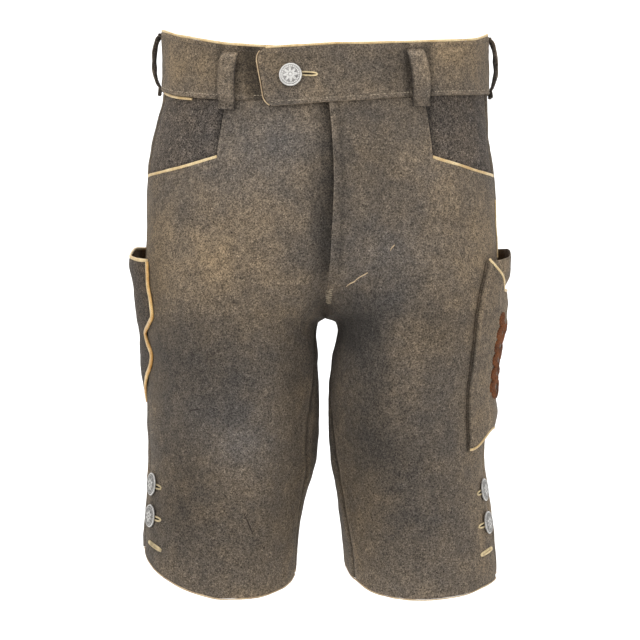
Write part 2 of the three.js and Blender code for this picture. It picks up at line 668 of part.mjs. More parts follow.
// Pipings along the edges of both side pockets.
function overlayPiping(edge) {
  const line = POCKET_COLUMNS.map((u) => onCargo(u, edge(u), OVERLAY_LIFT + 0.2));
  return strip(line, PIPING.width, LEATHER);
}
function knifeFrontPiping() {
  const line = steps(KNIFE_ROWS).map((v) => {
    const z = mix(pocketTop(RIGHT, 0), KNIFE_TIP, v);
    return place(RIGHT, read(KNIFE_POCKET, "z", z, "from"), z, GAP + PIPING.thickness);
  });
  return strip(line, PIPING.width, PIPING.thickness, 0, -PIPED - 0.4);
}
function knifeMouthPiping() {
  const line = steps(12).map((v) => {
    const u = mix(0.02, 0.98, v);
    return pocketPlace(RIGHT, KNIFE_POCKET, u, pocketTop(RIGHT, u) + PIPED, 0.2);
  });
  return strip(line, PIPING.width, PIPING.thickness);
}
// The plain backing of the embroidered sprig on the cargo pocket.
const SPRIG = { top: -249, bottom: -329, from: 0.28, to: 0.7 };
function sprigPlate() {
  const grid = steps(6).map((v) =>
    steps(4).map((u) => {
      const z = mix(SPRIG.top, SPRIG.bottom, v);
      const waist = 1 - 0.35 * Math.abs(2 * v - 1);
      const at = mix(SPRIG.from, SPRIG.to, 0.5 + (u - 0.5) * waist);
      return onCargo(at, z, OVERLAY_LIFT + 2 * GAP + 1.2);
    }),
  );
  return wall(grid, 1.2);
}

// ---- Buttons ----------------------------------------------------------------------------------------
const BUTTON = { radius: 11.2, edge: 1.3, dome: 2.6, shank: 3.2, stand: 1.6 };
// A domed disc with a rolled edge on a short shank, standing along +Z from the leather.
function buttonGeometry() {
  const { radius, edge, dome, shank, stand } = BUTTON;
  const profile = [
    [0, GAP],
    [shank, GAP],
    [shank, GAP + stand],
    [radius - 0.8, GAP + stand],
    [radius, GAP + stand + edge / 2],
    [radius - 0.5, GAP + stand + edge],
    [radius * 0.6, GAP + stand + dome * 0.86],
    [0, GAP + stand + dome],
  ];
  return new THREE.LatheGeometry(profile.map(([x, y]) => new THREE.Vector2(x, y)), 14).rotateX(Math.PI / 2);
}
const BUTTONS = [
  { name: "button_waist", side: RIGHT, t: 0.0745, z: -21, lift: bandLift(TAB_END) },
  { name: "button_leg_right_upper", side: RIGHT, t: 0.416, z: -417, lift: 0 },
  { name: "button_leg_right_lower", side: RIGHT, t: 0.411, z: -448, lift: 0 },
  { name: "button_leg_left_upper", side: LEFT, t: 0.424, z: -421, lift: 0 },
  { name: "button_leg_left_lower", side: LEFT, t: 0.416, z: -453, lift: 0 },
];

// ---- The garment ------------------------------------------------------------------------------------
const suede = new THREE.MeshStandardMaterial({ color: 0x6b6156, roughness: 0.95 });
const darkSuede = new THREE.MeshStandardMaterial({ color: 0x564f49, roughness: 0.95 });
const lightLeather = new THREE.MeshStandardMaterial({ color: 0xdcc694, roughness: 0.7 });
const oldSilver = new THREE.MeshStandardMaterial({ color: 0xa9a5a1, roughness: 0.45, metalness: 0.8 });
const rustThread = new THREE.MeshStandardMaterial({ color: 0x7d4526, roughness: 0.85 });

const garment = new THREE.Group();
function add(name, geometry, material) {
  const mesh = new THREE.Mesh(geometry, material);
  mesh.name = name;
  garment.add(mesh);
  return mesh;
}

for (const [word, side] of [["right", RIGHT], ["left", LEFT]]) {
  add("front_" + word, frontPanel(side), suede);
  add("back_" + word, backPanel(side), suede);
  add("pocket_facing_" + word, pocketFacing(side), darkSuede);
  add("pocket_piping_" + word, mouthPiping(side), lightLeather);
  add("slit_underlap_" + word, slitUnderlap(side), suede);
  add("hem_piping_front_" + word, hemPiping(side, frontGrid(side)), lightLeather);
  add("hem_piping_back_" + word, hemPiping(side, backGrid(side)), lightLeather);
}
add("fly_underlap", flyUnderlap(), darkSuede);
add("waistband", waistband(), suede);
add("waistband_piping", waistbandPiping(), lightLeather);
add("tab_piping", tabPiping(), lightLeather);
for (const loop of LOOPS) add(loop.name, beltLoop(loop), suede);
add("watch_pocket_piping", watchPocketPiping(), lightLeather);
add("side_seam_piping", sideSeamPiping(), lightLeather);
add("knife_pocket", sidePocket(RIGHT, KNIFE_POCKET, KNIFE_ROWS, () => KNIFE_TIP), suede);
add("knife_pocket_piping", knifeFrontPiping(), lightLeather);
add("knife_mouth_piping", knifeMouthPiping(), lightLeather);
add("cargo_pocket", sidePocket(LEFT, CARGO_POCKET, CARGO_ROWS, cargoBottom), suede);
add("cargo_overlay", cargoOverlay(), suede);
add("overlay_piping_top", overlayPiping((u) => overlayTop(u) + PIPED + 0.4), lightLeather);
add("overlay_piping_bottom", overlayPiping((u) => cargoBottom(u) + 4 - PIPED - 0.4), lightLeather);
add("embroidered_sprig", sprigPlate(), rustThread);
for (const { name, side, t, z, lift } of BUTTONS) {
  const button = add(name, buttonGeometry(), oldSilver);
  const { point, normal } = place(side, t, z, lift);
  button.position.copy(point);
  button.quaternion.setFromUnitVectors(new THREE.Vector3(0, 0, 1), normal);
}

export default garment;
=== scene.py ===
import math

import bpy
import numpy as np
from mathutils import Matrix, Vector


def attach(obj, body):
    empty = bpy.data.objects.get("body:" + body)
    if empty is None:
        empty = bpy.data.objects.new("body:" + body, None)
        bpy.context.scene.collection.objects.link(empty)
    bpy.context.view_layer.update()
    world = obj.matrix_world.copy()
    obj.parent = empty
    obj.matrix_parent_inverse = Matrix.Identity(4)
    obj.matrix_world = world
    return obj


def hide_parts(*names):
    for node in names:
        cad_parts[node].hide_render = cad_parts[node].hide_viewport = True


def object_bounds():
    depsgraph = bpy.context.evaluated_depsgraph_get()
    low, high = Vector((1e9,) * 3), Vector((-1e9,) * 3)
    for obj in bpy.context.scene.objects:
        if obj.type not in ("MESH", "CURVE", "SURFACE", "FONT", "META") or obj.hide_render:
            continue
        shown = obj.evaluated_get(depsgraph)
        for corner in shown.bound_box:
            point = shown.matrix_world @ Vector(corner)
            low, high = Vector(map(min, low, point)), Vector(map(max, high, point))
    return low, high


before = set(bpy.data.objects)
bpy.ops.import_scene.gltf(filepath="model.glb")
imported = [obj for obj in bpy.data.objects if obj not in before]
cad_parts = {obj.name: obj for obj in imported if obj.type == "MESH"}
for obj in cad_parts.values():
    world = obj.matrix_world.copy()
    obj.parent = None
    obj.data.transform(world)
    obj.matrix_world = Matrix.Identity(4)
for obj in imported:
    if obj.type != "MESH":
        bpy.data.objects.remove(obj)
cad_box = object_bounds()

# ---- Camera, floor and lights ---------------------------------------------------------------
# The breeches are seen straight from the front, from 2.6 m, on a seamless pale paper sweep, in
# the light of large soft boxes: one high on the left, a weaker one on the right, and one overhead.
view_distance, view_width = 2.6, 0.64
eye = bpy.data.objects.new("camera", bpy.data.cameras.new("camera"))
eye.location = (-0.005, -view_distance, -0.254)
eye.rotation_euler = (math.radians(90), 0, 0)
eye.data.sensor_width = 36
eye.data.lens = eye.data.sensor_width * view_distance / view_width
eye.data.clip_end = 30
bpy.context.scene.collection.objects.link(eye)
bpy.context.scene.camera = eye
bpy.context.scene.view_settings.view_transform = "Standard"

clear_below = 0.27  # the hems hang this far above the floor
floor_height = cad_box[0][2] - clear_below
flat_to, bend, wall_top = 2.2, 1.6, 6.5
sweep = bpy.data.meshes.new("paper_sweep")
run = [(-6, 0), (flat_to, 0)]
run += [(flat_to + bend * math.sin(a), bend - bend * math.cos(a)) for a in np.linspace(0.1, 1.57, 15)]
run += [(flat_to + bend, wall_top)]
corners = [(x, y, z + floor_height) for y, z in run for x in (-9, 9)]
strips = [(2 * i, 2 * i + 1, 2 * i + 3, 2 * i + 2) for i in range(len(run) - 1)]
sweep.from_pydata(corners, [], strips)
for face in sweep.polygons:
    face.use_smooth = True
paper = bpy.data.materials.new("pale_paper")
paper.use_nodes = True
shader = paper.node_tree.nodes["Principled BSDF"]
shader.inputs["Base Color"].default_value = (0.93, 0.93, 0.93, 1)
shader.inputs["Roughness"].default_value = 0.9
sweep.materials.append(paper)
sweep_object = bpy.data.objects.new("paper_sweep", sweep)
bpy.context.scene.collection.objects.link(sweep_object)

for name, place, size, power in (
    ("soft_box_left", (-1.7, -2.7, 1.5), 2.0, 46),
    ("soft_box_right", (1.9, -2.5, 0.5), 2.0, 24),
    ("soft_box_above", (0.0, -0.3, 2.3), 2.0, 34),
    ("sweep_light", (0.0, 1.2, 2.6), 3.0, 120),
):
    lamp = bpy.data.lights.new(name, "AREA")
    lamp.size, lamp.energy = size, power
    box = bpy.data.objects.new(name, lamp)
    box.location = place
    aim = Vector((0, 3.6, 0.3)) if name == "sweep_light" else Vector((0, 0, -0.25))
    box.rotation_euler = (aim - box.location).to_track_quat("-Z", "Y").to_euler()
    bpy.context.scene.collection.objects.link(box)
air = bpy.data.worlds.new("studio")
air.use_nodes = True
air.node_tree.nodes["Background"].inputs["Color"].default_value = (1.0, 0.995, 0.985, 1)
air.node_tree.nodes["Background"].inputs["Strength"].default_value = 0.56
bpy.context.scene.world = air

# ---- Fronts ---------------------------------------------------------------------------------
# Two suede panels, 1.6 mm thick, from the waistband to the hem, scooped at the pocket mouths.
# They are shaped on the filled-out form: an ellipse-like section per height for each side, split
# into two legs at the crotch. The left front laps over the right at the fly.
LEFT, RIGHT = 1, -1  # the wearer's sides, as the sign of x; all sizes in mm
both_sides = ((LEFT, "left"), (RIGHT, "right"))
FORK_TOP, CROTCH, EVEN_BELOW = -165, -251, -320
MOUTH_CORNER, BELOW_MOUTH, ABOVE_HEM, HEM = -98, -120, -465, -505
SIDE_SEAM = 0.45
FRONT_RUN, SIDE_RUN = 455, 480  # mm of leather to one unit of t, at the front and at the side
seam_lap = 0.0003  # panels meet a hair past their seam line

# height, distance of the side from the middle, depth to the front and back, squareness
body_sections = {
    RIGHT: [(34, 160, 103, 106, 2.25), (-26, 162, 109, 114, 2.25), (-64, 169, 113, 122, 2.3),
            (-111, 177, 117, 131, 2.35), (-154, 179, 119, 135, 2.4), (-200, 179, 120, 131, 2.4),
            (-251, 178, 117, 120, 2.3), (-334, 178, 106, 106, 2.2), (-384, 176, 99, 100, 2.15),
            (-414, 178, 96, 97, 2.15), (-474, 182, 92, 94, 2.1), (-530, 179, 89, 93, 2.1)],
    LEFT: [(34, 160, 103, 106, 2.25), (-26, 162, 109, 114, 2.25), (-64, 163, 113, 122, 2.3),
           (-111, 169, 117, 131, 2.35), (-154, 171, 119, 135, 2.4), (-200, 171, 120, 131, 2.4),
           (-251, 169, 117, 120, 2.3), (-334, 163, 106, 106, 2.2), (-384, 159, 99, 100, 2.15),
           (-414, 162, 96, 97, 2.15), (-474, 169, 92, 94, 2.1), (-530, 173, 89, 93, 2.1)],
}
# height, distance of the inner leg from the middle
inner_legs = {
    RIGHT: [(-251, 0), (-256, 8), (-264, 10), (-290, 7), (-334, 5), (-390, 9), (-434, 20), (-480, 26),
            (-530, 29)],
    LEFT: [(-251, 0), (-256, 11), (-264, 13), (-290, 7), (-334, 2.5), (-390, 6), (-434, 12), (-480, 18),
           (-530, 23)],
}
# height, how far the inner-leg seam has turned to the front
inseam_turns = {
    RIGHT: [(-251, 0), (-300, 0.06), (-350, 0.09), (-440, 0.05), (-530, 0.03)],
    LEFT: [(-251, 0), (-300, 0.03), (-380, 0.06), (-450, 0.075), (-530, 0.08)],
}
# side, place round, height, lean, half width, half length, height out
broad_folds = [
    (RIGHT, 0.075, -205, 0.0011, 22, 62, -3.2), (LEFT, 0.085, -222, 0.0012, 26, 60, -5.5),
    (LEFT, 0.14, -262, 0.0004, 24, 80, 3), (RIGHT, 0.13, -390, 0, 18, 130, -2.6),
    (LEFT, 0.12, -400, 0.0002, 22, 120, -2.6), (RIGHT, 0.27, -320, -0.0002, 42, 90, 2.4),
    (LEFT, 0.25, -360, 0.0002, 40, 100, 2.2), (RIGHT, 0.86, -215, -0.0011, 26, 70, -4.5),
    (LEFT, 0.87, -225, -0.001, 26, 70, -4.5), (RIGHT, 0.7, -300, 0, 40, 110, 3),
    (LEFT, 0.72, -310, 0, 40, 110, 3),
]
# Creases that the wearer has pressed in: on the front (-1) or back (1), from x, height to x, height,
# half width, height out.
small_creases = [
    (-1, -8, -236, -52, -214, 7, -1.5), (-1, -14, -246, -66, -240, 8, -1.3),
    (-1, -20, -262, -62, -282, 9, -1.2), (-1, 10, -240, 58, -206, 8, -1.9),
    (-1, 16, -250, 60, -262, 9, -1.6), (-1, 22, -268, 66, -306, 10, -1.3), (-1, 2, -150, 22, -196, 7, -0.9),
    (-1, -60, -120, -96, -128, 9, -0.8), (-1, 66, -118, 92, -126, 9, -0.8),
    (-1, -168, -230, -120, -262, 12, -1.0), (-1, -160, -300, -118, -318, 12, -0.9),
    (-1, 40, -330, 52, -420, 10, -1.1), (-1, 66, -352, 80, -440, 13, 0.9),
    (-1, -44, -330, -36, -430, 9, -1.2), (-1, -66, -350, -60, -470, 14, 0.8),
    (-1, -128, -420, -92, -436, 12, -0.9), (-1, -150, -452, -108, -470, 11, -0.8),
    (-1, 92, -452, 140, -470, 12, -0.9), (-1, 60, -216, 71, -268, 8, -1.7),
    (-1, 120, -300, 146, -340, 10, -0.9), (-1, -96, -500, -60, -492, 12, 0.8),
    (-1, 64, -500, 110, -508, 12, 0.8), (1, -10, -222, -64, -196, 9, -2.0),
    (1, 10, -226, 62, -202, 9, -2.1), (1, -16, -244, -84, -236, 9, -1.8), (1, 18, -246, 88, -240, 9, -1.8),
    (1, -26, -262, -110, -268, 10, -1.7), (1, 28, -264, 112, -274, 10, -1.6),
    (1, -60, -60, -110, -72, 11, -1.0), (1, 58, -62, 112, -74, 11, -1.0),
    (1, -60, -310, -70, -400, 12, -1.2), (1, 66, -316, 74, -410, 12, -1.2),
    (1, -130, -330, -96, -352, 12, -1.0), (1, 132, -340, 98, -362, 12, -1.0),
    (1, -52, -420, -120, -436, 12, -0.9), (1, 52, -426, 122, -440, 12, -0.9),
]
thickness = {"panel": 1.6, "band": 2.4, "pocket": 1.8, "loop": 2.6}
layer = 1.9  # one panel resting on another


def between(a, b, u):
    return a + (b - a) * u


def eased(u):
    u = np.clip(u, 0, 1)
    return u * u * (3 - 2 * u)


def table_value(rows, at):
    """The columns of a table of rows, smoothly at any place between them."""
    rows = np.array(sorted(rows), float)
    keys, values = rows[:, 0], rows[:, 1:]
    at = np.clip(np.asarray(at, float), keys[0], keys[-1])
    rise = np.diff(values, axis=0) / np.diff(keys)[:, None]
    slope = np.empty_like(values)
    slope[0], slope[-1] = rise[0], rise[-1]
    a, b = rise[:-1], rise[1:]
    slope[1:-1] = np.where(a * b <= 0, 0, 2 * a * b / np.where(a + b == 0, 1, a + b))
    i = np.clip(np.searchsorted(keys, at, side="right") - 1, 0, len(keys) - 2)
    span = (keys[i + 1] - keys[i])[..., None]
    u = (at - keys[i])[..., None] / span
    return (
        (1 + 2 * u) * (1 - u) ** 2 * values[i]
        + u * u * (3 - 2 * u) * values[i + 1]
        + span * (u * (1 - u) ** 2 * slope[i] + u * u * (u - 1) * slope[i + 1])
    )


def powered(v, e):
    return np.sign(v) * np.abs(v) ** e


def side_section(side, z):
    outer, front, back, square = table_value(body_sections[side], z).T
    above = z > CROTCH
    down = np.clip((FORK_TOP - z) / (FORK_TOP - CROTCH), 0, 1)
    overlap = (1 - (1 - down**2) ** (square / 2)) ** (1 / square)
    inner = np.where(above, 0, table_value(inner_legs[side], z)[..., 0])
    centre = np.where(above, outer * overlap / (1 + overlap), (outer + inner * eased((CROTCH - z) / 80)) / 2)
    start = np.where(above, np.arccos(np.clip(overlap ** (square / 2), -1, 1)), 0)
    in_half = np.where(above, outer - centre, centre - inner)
    return centre, in_half, outer - centre, front, back, 2 / square, start


def at_angle(section, a):
    centre, in_half, out_half, front, back, power, _ = (v[:, None] for v in section)
    c, s = np.cos(a), np.sin(a)
    x = centre - np.where(c > 0, in_half, out_half) * powered(c, power)
    return x, -np.where(s > 0, front, back) * powered(s, power)


def half_line(side, behind, z):
    section = side_section(side, z)
    start = section[-1]
    first = np.where(behind, math.pi, start)
    last = np.where(behind, 2 * math.pi - start, math.pi)
    a = first[:, None] + (last - first)[:, None] * np.linspace(0, 1, 49)
    x, y = at_angle(section, a)
    steps = np.hypot(np.diff(x), np.diff(y))
    return section, a, np.hstack([np.zeros((len(z), 1)), np.cumsum(steps, axis=1)])


even_lengths = {}
for side in (LEFT, RIGHT):
    for behind in (False, True):
        lengths = half_line(side, np.array([behind] * 2), np.array([FORK_TOP, EVEN_BELOW], float))[2][:, -1]
        even_lengths[side, behind] = lengths


def on_form(side, t, z):
    """Points of the form: t is 0 at the middle front or inner leg, 0.5 at the side and 1 at the back."""
    side, t, z = (np.array(v, float) for v in np.broadcast_arrays(side, t, z))
    shape = t.shape
    side, t, z = side.ravel(), t.ravel(), z.ravel()
    over, above = (t < 0) | (t > 1), z > CROTCH
    mirrored = np.where(t < 0, -t, 2 - t)
    wrapped = np.where(t < 0, t + 1, t - 1)
    t = np.where(over, np.where(above, mirrored, wrapped), t)
    side = np.where(over & above, -side, side)
    points = np.empty((len(t), 3))
    for which in (LEFT, RIGHT):
        m = side == which
        if not m.any():
            continue
        tm, zm = t[m], z[m]
        behind = tm > 0.5
        section, a, lengths = half_line(which, behind, zm)
        whole = lengths[:, -1]
        top, low = (np.where(behind, even_lengths[which, True][i], even_lengths[which, False][i])
                    for i in (0, 1))
        forked = (zm < FORK_TOP) & (zm > EVEN_BELOW)
        even = np.where(forked, between(top, low, eased((FORK_TOP - zm) / (FORK_TOP - EVEN_BELOW))), whole)
        share = np.abs(2 * tm - 1)
        from_side = share * even - (even - whole) * share**3
        length = np.where(behind, from_side, whole - from_side)
        k = np.clip((lengths < length[:, None] - 1e-9).sum(axis=1), 1, 48)
        n = np.arange(len(k))
        u = (length - lengths[n, k - 1]) / np.maximum(lengths[n, k] - lengths[n, k - 1], 1e-9)
        x, y = at_angle(section, (a[n, k - 1] + u * (a[n, k] - a[n, k - 1]))[:, None])
        points[m] = np.stack([which * x[:, 0], y[:, 0], zm], axis=1)
    return points.reshape(*shape, 3)


def unit(v):
    return v / np.maximum(np.linalg.norm(v, axis=-1, keepdims=True), 1e-12)


def outward(side, t, z):
    round_it = on_form(side, t + 0.006, z) - on_form(side, t - 0.006, z)
    up = on_form(side, t, z + 2) - on_form(side, t, z - 2)
    return unit(np.cross(round_it, up) * np.asarray(side, float)[..., None])


hide = np.random.default_rng(11)
ripple_ways = [(unit(hide.normal(size=3)), hide.uniform(0, 6.3), 2 * math.pi / w, h)
               for w, h in [(95, 0.8), (70, 0.6), (52, 0.45), (41, 0.35), (30, 0.25), (24, 0.2), (17, 0.12),
                            (13, 0.1), (9, 0.07), (7, 0.055)] for _ in (0, 1)]


def pressed_in(side, t, z, points):
    """How far the suede stands out or in at these places: broad folds, creases and its own ripples."""
    side = np.broadcast_to(np.asarray(side, float), t.shape)
    out = np.zeros(t.shape)
    for which, t0, z0, lean, width, length, height in broad_folds:
        across = (t - t0 - lean * (z0 - z)) * SIDE_RUN / width
        out += np.where(side == which, height * np.exp(-(across**2) - ((z - z0) / length) ** 2), 0)
    x, y, up = points[..., 0], points[..., 1], points[..., 2]
    for facing, x0, z0, x1, z1, width, height in small_creases:
        along = ((x - x0) * (x1 - x0) + (up - z0) * (z1 - z0)) / ((x1 - x0) ** 2 + (z1 - z0) ** 2)
        along = np.clip(along, 0, 1)
        away = np.hypot(x - x0 - along * (x1 - x0), up - z0 - along * (z1 - z0))
        fade = np.sin(math.pi * (0.12 + 0.76 * along)) * eased(facing * y / 50)
        out += height * fade * np.exp(-((away / width) ** 2))
    for way, phase, wave, height in ripple_ways:
        out += height * np.sin(points @ way * wave + phase) * 0.5
    return out


def lay(side, t, z, lift=0.0):
    """Places on the form, lifted out: their points and their outward directions."""
    side, t, z = (np.array(v, float) for v in np.broadcast_arrays(side, t, z))
    points, normals = on_form(side, t, z), outward(side, t, z)
    out = lift + pressed_in(side, t, z, points)
    return points + normals * np.asarray(out)[..., None], normals


# Where the hide is darker (-) or paler (+) and warmer or cooler: x, height, half widths, tone, warmth.
# On the front the patches mix the hide's own mottling with painted light and shade: the dark strip
# beside the fly, the dark patches round the crotch and inner legs and the darker outer sides are
# painted shade. The back has patches of its own.
front_patches = [
    (-112, -195, 62, 42, 0.45, 0.75), (-80, -100, 60, 50, 0.26, -0.3), (-6, -150, 11, 66, -0.75, -0.3),
    (14, -120, 16, 50, -0.25, -0.4), (-30, -78, 46, 26, 0.15, -0.4), (112, -132, 44, 62, 0.45, 0.2),
    (58, -190, 34, 26, 0.14, -0.4), (152, -190, 30, 62, 0.3, 0.6), (38, -262, 22, 34, -1.1, -0.9),
    (68, -234, 24, 20, -0.25, -0.6), (-116, -302, 62, 42, -0.54, -0.35), (-88, -322, 36, 32, -0.18, -0.35),
    (-138, -272, 32, 32, -0.25, -0.2), (-138, -392, 24, 36, -0.5, 0), (-174, -235, 16, 50, -0.45, 0.4),
    (68, -226, 22, 26, -0.3, -0.3), (104, -262, 28, 28, -0.35, 0.2), (-28, -322, 14, 54, -0.6, 0.0),
    (42, -342, 24, 52, -0.85, -0.5), (72, -384, 32, 26, -0.55, -0.5), (104, -356, 24, 28, -0.45, -0.7),
    (-80, -376, 26, 24, 0.25, -0.5), (-112, -350, 40, 28, -0.24, -0.6), (-104, -452, 90, 52, -0.42, -0.1),
    (-142, -438, 22, 28, -0.3, 0.1), (40, -430, 50, 60, -0.35, 0.3), (98, -448, 36, 46, -0.3, -0.4),
    (165, -420, 26, 120, 0.4, 0.6), (-176, -420, 10, 90, 0.15, 0.2), (-60, -528, 60, 15, 0.3, 0.6),
    (60, -516, 60, 20, 0.3, 0.1), (-138, 2, 28, 34, 0.42, 0.8), (132, 8, 34, 30, 0.4, 0.9),
    (68, -14, 14, 26, -0.3, 0.2), (20, -36, 60, 12, 0.25, 0.3), (-60, -255, 30, 40, 0.1, 0.3),
    (-172, -190, 16, 60, -0.1, 0.9), (-80, 4, 80, 30, 0.05, 0.5), (-168, -300, 16, 50, -0.3, 0.2),
    (60, -330, 60, 60, -0.15, 0), (-20, -440, 20, 90, -0.2, 0.6), (36, -94, 30, 52, -0.22, 0),
    (115, -154, 40, 46, -0.2, 0), (-105, -254, 42, 30, -0.12, 0), (35, -266, 28, 30, -0.25, -0.2),
]
back_patches = [
    (-70, -170, 60, 60, 0.4, 0.3), (74, -176, 62, 58, 0.35, 0.5), (0, -120, 18, 90, -0.35, -0.2),
    (-40, -236, 50, 16, -0.6, -0.4), (44, -238, 52, 16, -0.6, -0.3), (-90, -262, 60, 22, 0.15, 0.4),
    (-30, -330, 20, 60, -0.5, 0.0), (34, -330, 20, 60, -0.5, -0.2), (-90, -350, 40, 40, -0.4, -0.6),
    (96, -340, 44, 44, -0.35, -0.5), (-120, -440, 50, 40, 0.2, 0.5), (120, -430, 46, 50, 0.25, 0.4),
    (60, -500, 60, 22, 0.25, 0.3), (-60, -490, 60, 22, 0.2, 0.2), (-130, -80, 40, 60, 0.2, 0.5),
    (130, -84, 40, 60, 0.25, 0.3), (0, 0, 50, 30, -0.15, 0.2),
]


# tone and warmth from the patches: the hide's mottling together with painted shade and light
def hide_tone_and_painted_shade(points):
    x, y, z = points[..., 0], points[..., 1], points[..., 2]
    tone, warmth = np.zeros(x.shape), np.zeros(x.shape)
    for facing, patches in ((-1, front_patches), (1, back_patches)):
        for px, pz, wx, wz, dark, warm in patches:
            share = np.exp(-(((x - px) / wx) ** 2) - ((z - pz) / wz) ** 2) * eased((40 + facing * y) / 60)
            tone += dark * share
            warmth += warm * share
    return tone, warmth


def make_piece(name, points, faces, materials, slots=None, crisp=38, shade=0.0):
    """A mesh object from points in mm, with the hide's tone and its painted shade and light stored on it.

    shade is painted shade (-) and painted light (+), with some grime and rubbing along worn edges; crisp is
    the angle above which an edge stays sharp.
    """
    mesh = bpy.data.meshes.new(name)
    mesh.from_pydata((np.asarray(points) / 1000).tolist(), [], [tuple(int(i) for i in f) for f in faces])
    for material in materials:
        mesh.materials.append(material)
    if slots is not None:
        mesh.polygons.foreach_set("material_index", np.asarray(slots, np.int32))
    mesh.polygons.foreach_set("use_smooth", [True] * len(mesh.polygons))
    mesh.update()
    mesh.set_sharp_from_angle(angle=math.radians(crisp))
    tone, warmth = hide_tone_and_painted_shade(np.asarray(points, float))
    for label, values in (("tone", tone + shade), ("warmth", warmth)):
        stored = mesh.attributes.new(label, "FLOAT", "POINT").data
        stored.foreach_set("value", np.asarray(values, np.float32).ravel())
    piece = bpy.data.objects.new(name, mesh)
    bpy.context.scene.collection.objects.link(piece)
    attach(piece, "root")
    return piece


def cut_cloth(name, points, normals, thick, materials, keep=None, rounding=0.4, shade=None):
    """A sheet with both faces and its cut edges, from a grid of places. keep says which cells are cloth."""
    rows, columns = points.shape[:2]
    cells = np.ones((rows - 1, columns - 1), bool) if keep is None else keep
    number = np.arange(rows * columns).reshape(rows, columns)
    a, b, d, e = number[:-1, :-1], number[:-1, 1:], number[1:, 1:], number[1:, :-1]
    wide = np.pad(cells, 1)
    edges = []
    for beside, start, end in ((wide[:-2, 1:-1], b, a), (wide[1:-1, 2:], d, b),
                               (wide[2:, 1:-1], e, d), (wide[1:-1, :-2], a, e)):
        m = cells & ~beside
        edges.append(np.stack([start[m], end[m]], axis=1))
    edges = np.vstack(edges)
    outer, inner = points.reshape(-1, 3).copy(), (points - normals * thick).reshape(-1, 3)
    flat_normals = normals.reshape(-1, 3)
    rim = np.unique(edges)
    outer[rim] -= flat_normals[rim] * rounding
    inner[rim] += flat_normals[rim] * rounding
    n = rows * columns
    face = np.stack([a[cells], b[cells], d[cells], e[cells]], axis=1)
    walls = np.stack([edges[:, 0], edges[:, 1], edges[:, 1] + n, edges[:, 0] + n], axis=1)
    all_faces = np.vstack([face, face[:, ::-1] + n, walls])
    sample = face[len(face) // 2]
    corner = points.reshape(-1, 3)[sample]
    if np.dot(np.cross(corner[1] - corner[0], corner[2] - corner[0]), flat_normals[sample[0]]) < 0:
        all_faces = all_faces[:, ::-1]
    used, packed = np.unique(all_faces, return_inverse=True)
    # the materials are those of the outside, the inside and the cut edge, or one for all three
    slots = np.repeat([0, 1, 2], [len(face), len(face), len(walls)]) % len(materials)
    every = np.vstack([outer, inner])
    # painted shade and light, with some rubbing, for each point of both faces
    painted_shade_and_wear = 0.0 if shade is None else np.tile(np.broadcast_to(shade, points.shape[:2]).ravel(), 2)[used]
    return make_piece(name, every[used], packed.reshape(all_faces.shape), materials, slots, shade=painted_shade_and_wear)


def grid(down, across, left=0.0, right=1.0):
    """Two tables for the places of a sheet: how far down, 0 to 1, and how far across, left to right."""
    return np.meshgrid(np.linspace(0, 1, down), np.linspace(left, right, across), indexing="ij")


def linked(tree, kind, inputs=None, **settings):
    """Adds a shader node with its settings and inputs: a number, a colour or another node's output."""
    node = tree.nodes.new(kind)
    for key, value in settings.items():
        setattr(node, key, value)
    for key, value in (inputs or {}).items():
        if isinstance(value, bpy.types.NodeSocket):
            tree.links.new(value, node.inputs[key])
        else:
            node.inputs[key].default_value = value
    return node


def new_finish(name):
    """A new material with its node tree, its shader and the places on a piece that patterns follow."""
    material = bpy.data.materials.new(name)
    material.use_nodes = True
    tree = material.node_tree
    return material, tree, tree.nodes["Principled BSDF"], linked(tree, "ShaderNodeTexCoord").outputs["Object"]


def noise(tree, place, scale, detail, rough=0.5, twist=0.0):
    settings = {"Vector": place, "Scale": scale, "Detail": detail, "Roughness": rough, "Distortion": twist}
    return linked(tree, "ShaderNodeTexNoise", settings).outputs["Fac"]


def cell_distance(tree, place, scale):
    cells = linked(tree, "ShaderNodeTexVoronoi", {"Vector": place, "Scale": scale}, feature="F1")
    return cells.outputs["Distance"]


def ranged(tree, value, low, high, at_low, at_high):
    """A value between low and high carried over to at_low to at_high, and held there beyond them."""
    scale = {"Value": value, 1: low, 2: high, 3: at_low, 4: at_high}
    return linked(tree, "ShaderNodeMapRange", scale).outputs[0]


def mixed(tree, share, first, second, way="MIX"):
    """Two colours mixed, the second one by its share, or multiplied."""
    inputs = {0: share, 6: first, 7: second}
    return linked(tree, "ShaderNodeMix", inputs, data_type="RGBA", blend_type=way).outputs[2]


